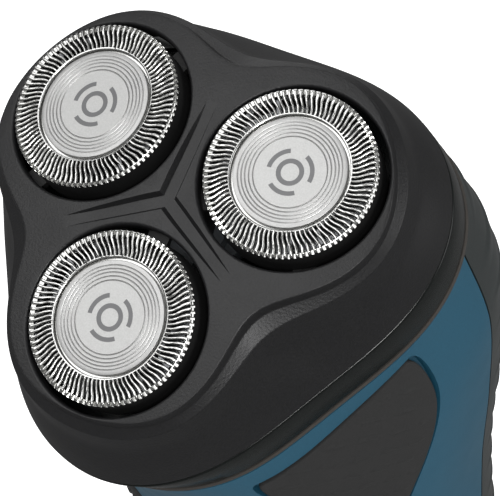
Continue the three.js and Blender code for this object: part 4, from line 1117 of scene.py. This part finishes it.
def make_shells():
    """The two shells, halves of the handle's wall on each side of a plane; the grips, the parts of
    the surface that fill their pockets in the front shell; and the charge light."""
    sizes = handle()
    far, gap = 0.4, GAP / 2
    front = tube()
    combine(front, [solid(bar((-far, far), (-far, sizes.seam - gap), (-far, far)))], "INTERSECT")
    below = on_front(LENS_HEIGHT)
    combine(front, [
        solid(grip_patch(3 * MM, sizes.grip_depth, GAP, "right", 40, 120)),
        solid(grip_patch(3 * MM, sizes.grip_depth, GAP, "left", 40, 120)),
        solid(rod(BUTTON_RADIUS + GAP, -6 * MM, 6 * MM, 96), place=on_front(BUTTON_HEIGHT)),
        solid(rod(LENS_RADIUS + GAP, -5 * MM, 5 * MM, 48), place=below),
    ])
    piece(front, "front_shell", "handle", material(satin_blue_lacquer))

    rear = tube(sizes.rib_height)
    combine(rear, [solid(bar((-far, far), (sizes.seam + gap, far), (-far, far)))], "INTERSECT")
    piece(rear, "rear_shell", "handle", material(rear_abs), sharp=50)

    for side in ("right", "left"):
        proud, deep = sizes.grip_proud, sizes.grip_depth - GAP
        patch = solid(grip_patch(proud, deep, 0.0, side, 90, 520, 0.5 * MM, sizes.dash_height))
        piece(patch, f"grip_inlay_{side}", "handle", material(soft_grip), sharp=50)

    lo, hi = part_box("charge_light")
    face = float(below.origin[1]) - lo[1]
    lens = solid(rod(LENS_RADIUS, face - (hi[1] - lo[1]), face, 40, 0.25 * MM), place=below)
    piece(lens, "charge_light", "handle", material(clear_lens), below)


def make_power_button():
    """The power button: a dished face in a rounded edge, on a flange and a stem."""
    lo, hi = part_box("power_button")
    place = ROOT.moved((0, lo[1], BUTTON_HEIGHT), (1, 0, 0), (0, -1, 0))
    deep = hi[1] - lo[1]
    shell = handle().wall + 0.7 * MM + 0.9 * MM
    profile = [
        (0, -deep), (1.5 * MM, -deep), (1.5 * MM, -shell), (6.7 * MM, -shell),
        (BUTTON_RADIUS, -shell + 0.3 * MM), (BUTTON_RADIUS, -0.7 * MM), (6.85 * MM, -0.3 * MM),
        (6.5 * MM, -0.06 * MM), (6.1 * MM, 0), (5.7 * MM, -0.04 * MM), (4 * MM, -0.28 * MM),
        (2 * MM, -0.42 * MM), (0, -0.46 * MM),
    ]
    body = solid(turned(profile, 120), place=place)
    piece(body, "power_button", "power_button", material(rear_abs), place)


def make_base():
    """The base cap: a rounded foot, a lip inside the shells, a socket mouth and two screw holes."""
    turn = np.arange(BODY_LOOP) * TAU / BODY_LOOP
    wall = handle().wall

    def level(height, inset):
        return body_surface(LAST - height * MM / LOWEST_WAIST, turn, inset * MM)

    # Heights and insets in millimetres, from the middle of the foot outwards, up, in and back down.
    inside, double = wall / MM + 0.3, 2 * wall / MM
    path = [
        (0, 2.4), (0, 1.3), (0.12, 0.8), (0.45, 0.35), (1, 0.05), (1.4, 0), (2.8, 0), (3, 0.2), (3, inside),
        (7, inside), (7, double), (3, double),
    ]
    rings = [pole(0, BODY_LOOP), *(level(*step) for step in path), pole(BASE_THICKNESS, BODY_LOOP)]
    body = solid(grid(np.stack(rings), closed=True))
    mouth = prism(rounded_box(4.3 * MM, 2.3 * MM, 0.8 * MM), -1 * MM, 4 * MM)
    hole = np.array([(0, -1), (2.5, -1), (2.5, 1.5), (1.4, 1.5), (1.4, 4), (0, 4)]) * MM
    spots = {name: ROOT.moved((x, BASE_SCREW_BACK, 0)) for name, x in BASE_SCREWS.items()}
    tools = [solid(mouth, place=ROOT.moved((0, SOCKET_BACK, 0)))]
    tools += [solid(turned(hole, 48), place=spot) for spot in spots.values()]
    combine(body, tools)
    piece(body, "base_cap", "handle", material(rear_abs))
    for name, spot in spots.items():
        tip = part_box(f"base_screw_{name}")[1][2]
        profile = [
            (0, 0.3 * MM), (1.8 * MM, 0.3 * MM), (2.1 * MM, 0.6 * MM), (2.1 * MM, 1.4 * MM),
            (1 * MM, 1.4 * MM), (1 * MM, tip - 0.5 * MM), (0.6 * MM, tip), (0, tip),
        ]
        screw = solid(turned(profile, 48), place=spot)
        slot = bar((-1.2 * MM, 1.2 * MM), (-0.2 * MM, 0.2 * MM), (0, 0.9 * MM))
        turns = [spot.moved((0, 0, 0), (math.cos(a), math.sin(a), 0)) for a in (0.4, 0.4 + TAU / 4)]
        combine(screw, [solid(slot, place=turn) for turn in turns])
        piece(screw, f"base_screw_{name}", "handle", material(zinc_steel), spot)


def make_hinge_pin():
    pin = solid(rod(PIN_RADIUS, -HINGE_HALF_WIDTH, HINGE_HALF_WIDTH, 40, 0.2 * MM), place=HINGE)
    piece(pin, "cover_hinge_pin", "shaving_unit", material(zinc_steel), HINGE)


# CAD nodes that stay as they are, and the finish that each takes.
KEPT = {
    "cutter_": ground_steel,
    "drive_spindle_": natural_acetal,
    "drive_gear_": natural_acetal,
    "spindle_seal_": gasket_rubber,
    "retaining_": inner_nylon,
    "gear_plate_screw_": zinc_steel,
    "gear_plate": inner_nylon,
    "motor_pinion": brass,
    "motor_": zinc_steel,
    "charging_socket": polished_abs,
    "socket_pin_": brass,
    "battery_cell_": cell_wrap,
    "battery_contact_": brass,
    "inner_chassis": inner_nylon,
    "circuit_board": solder_mask,
    "power_switch": inner_nylon,
}


def paint_frame():
    """Gives each CAD node that stays the finish of the first entry that its name starts with."""
    for name, node in frame["nodes"].items():
        for start, maker in KEPT.items():
            if name.startswith(start):
                node.data.materials.clear()
                node.data.materials.append(material(maker))
                break


# ------------------------------------------------------------------ studio
def area_light(name, toward, distance, size, power):
    """A square soft light, seen from the head in a direction, that faces the head."""
    data = bpy.data.lights.new(name, "AREA")
    data.shape, data.size, data.energy = "SQUARE", size, power
    lamp = bpy.data.objects.new(name, data)
    lamp.location = Vector(HEAD.origin + unit(toward) * distance)
    lamp.rotation_euler = Vector(toward).to_track_quat("Z", "Y").to_euler()
    bpy.context.scene.collection.objects.link(lamp)


def make_studio():
    scene = bpy.context.scene
    studio = scene.shaver_studio
    scene.view_settings.view_transform = "Standard"
    world = bpy.data.worlds.new("surround")
    scene.world = world
    world.use_nodes = True
    world.node_tree.nodes["Background"].inputs["Color"].default_value = (1, 1, 1, 1)
    world.node_tree.nodes["Background"].inputs["Strength"].default_value = studio.dome

    # Matt white paper: even and bright, and lit from behind so that it stays white under the shadow.
    made, tree, output, where = blank_material("matt_white_paper")
    shade(
        tree, output,
        Base_Color=mottled(tree, linear("#f4f4f4"), noise(tree, where, 40.0), 0.01), Roughness=0.9,
        Emission_Color=(1, 1, 1, 1), Emission_Strength=0.75,
    )
    side = 3.0
    floor = solid(bar((-side, side), (-side, side), (-0.01, -0.0002)))
    floor.name = floor.data.name = "floor"
    floor.data.materials.append(made)
    floor.visible_glossy = False

    area_light("key", (-0.36, -0.2, 0.9), 1.0, 0.9, studio.key)
    area_light("front", (0.5, -0.52, 0.7), 0.9, 0.2, studio.key * 0.7)
    area_light("side", (0.9, 0.35, 0.25), 1.0, 0.6, studio.key * 0.5)
    area_light("back", (-0.5, 0.8, 0.4), 1.0, 0.6, studio.key * 0.3)

    # The camera looks back along its azimuth and elevation, and its level right is turned by the roll.
    az, el, roll = studio.azimuth, studio.elevation, studio.roll
    back = np.array([math.sin(az) * math.cos(el), -math.cos(az) * math.cos(el), math.sin(el)])
    level = np.array([math.cos(az), math.sin(az), 0])
    right = level * math.cos(roll) - np.cross(back, level) * math.sin(roll)
    aim = HEAD.world(np.array([10.5, -1.1, -5.3]) * MM)
    data = bpy.data.cameras.new("camera")
    data.lens, data.sensor_width = studio.lens, 36
    data.clip_start, data.clip_end = 0.01, 20
    camera = bpy.data.objects.new("camera", data)
    turn = Matrix(np.stack([right, np.cross(back, right), back], 1).tolist()).to_4x4()
    camera.matrix_world = Matrix.Translation(Vector(aim + back * studio.distance)) @ turn
    scene.collection.objects.link(camera)
    scene.camera = camera


# ------------------------------------------------------------------ add-on
class SHAVER_OT_cover(bpy.types.Operator):
    """Build the head cover and its hinge pin"""

    bl_idname = "shaver.cover"
    bl_label = "Head cover"

    def execute(self, context):
        make_cover()
        make_hinge_pin()
        return {"FINISHED"}


class SHAVER_OT_caps(bpy.types.Operator):
    """Build the three slotted caps and their discs"""

    bl_idname = "shaver.caps"
    bl_label = "Caps"

    def execute(self, context):
        for side in SIDES:
            make_caps(side)
        return {"FINISHED"}


class SHAVER_OT_chamber(bpy.types.Operator):
    """Build the hair chamber, its release button and the gasket under it"""

    bl_idname = "shaver.chamber"
    bl_label = "Hair chamber"

    def execute(self, context):
        make_chamber()
        return {"FINISHED"}


class SHAVER_OT_shells(bpy.types.Operator):
    """Build the two shells, the grips and the charge light"""

    bl_idname = "shaver.shells"
    bl_label = "Handle shells"

    def execute(self, context):
        make_shells()
        return {"FINISHED"}


class SHAVER_OT_power_button(bpy.types.Operator):
    """Build the power button"""

    bl_idname = "shaver.power_button"
    bl_label = "Power button"

    def execute(self, context):
        make_power_button()
        return {"FINISHED"}


class SHAVER_OT_base(bpy.types.Operator):
    """Build the base cap and its two screws"""

    bl_idname = "shaver.base"
    bl_label = "Base"

    def execute(self, context):
        make_base()
        return {"FINISHED"}


class SHAVER_OT_inner(bpy.types.Operator):
    """Give the CAD pieces that stay their finishes"""

    bl_idname = "shaver.inner"
    bl_label = "Inner pieces"

    def execute(self, context):
        paint_frame()
        return {"FINISHED"}


class SHAVER_OT_studio(bpy.types.Operator):
    """Set up the floor, the lights and the camera"""

    bl_idname = "shaver.studio"
    bl_label = "Studio"

    def execute(self, context):
        make_studio()
        return {"FINISHED"}


STEPS = (
    SHAVER_OT_cover, SHAVER_OT_caps, SHAVER_OT_chamber, SHAVER_OT_shells, SHAVER_OT_power_button,
    SHAVER_OT_base, SHAVER_OT_inner, SHAVER_OT_studio,
)
GROUPS = {
    "shaver_head": ShaverHead, "shaver_handle": ShaverHandle, "shaver_finish": ShaverFinish,
    "shaver_studio": ShaverStudio,
}


class SHAVER_PT_panel(bpy.types.Panel):
    """Sizes and steps of the shaver"""

    bl_idname = "SHAVER_PT_panel"
    bl_label = "Shaver"
    bl_space_type = "VIEW_3D"
    bl_region_type = "UI"
    bl_category = "Shaver"

    def draw(self, context):
        for name, group in GROUPS.items():
            box = self.layout.box()
            box.label(text=group.__name__)
            for key in group.__annotations__:
                box.prop(getattr(context.scene, name), key)
        for step in STEPS:
            self.layout.operator(step.bl_idname)


def register():
    for kind in (*GROUPS.values(), *STEPS, SHAVER_PT_panel):
        bpy.utils.register_class(kind)
    for name, group in GROUPS.items():
        setattr(bpy.types.Scene, name, PointerProperty(type=group))


def unregister():
    for name in GROUPS:
        delattr(bpy.types.Scene, name)
    for kind in (SHAVER_PT_panel, *STEPS[::-1], *list(GROUPS.values())[::-1]):
        bpy.utils.unregister_class(kind)


def main():
    register()
    for step in STEPS:
        getattr(bpy.ops.shaver, step.bl_idname.split(".")[1])()


if __name__ == "__main__":
    main()
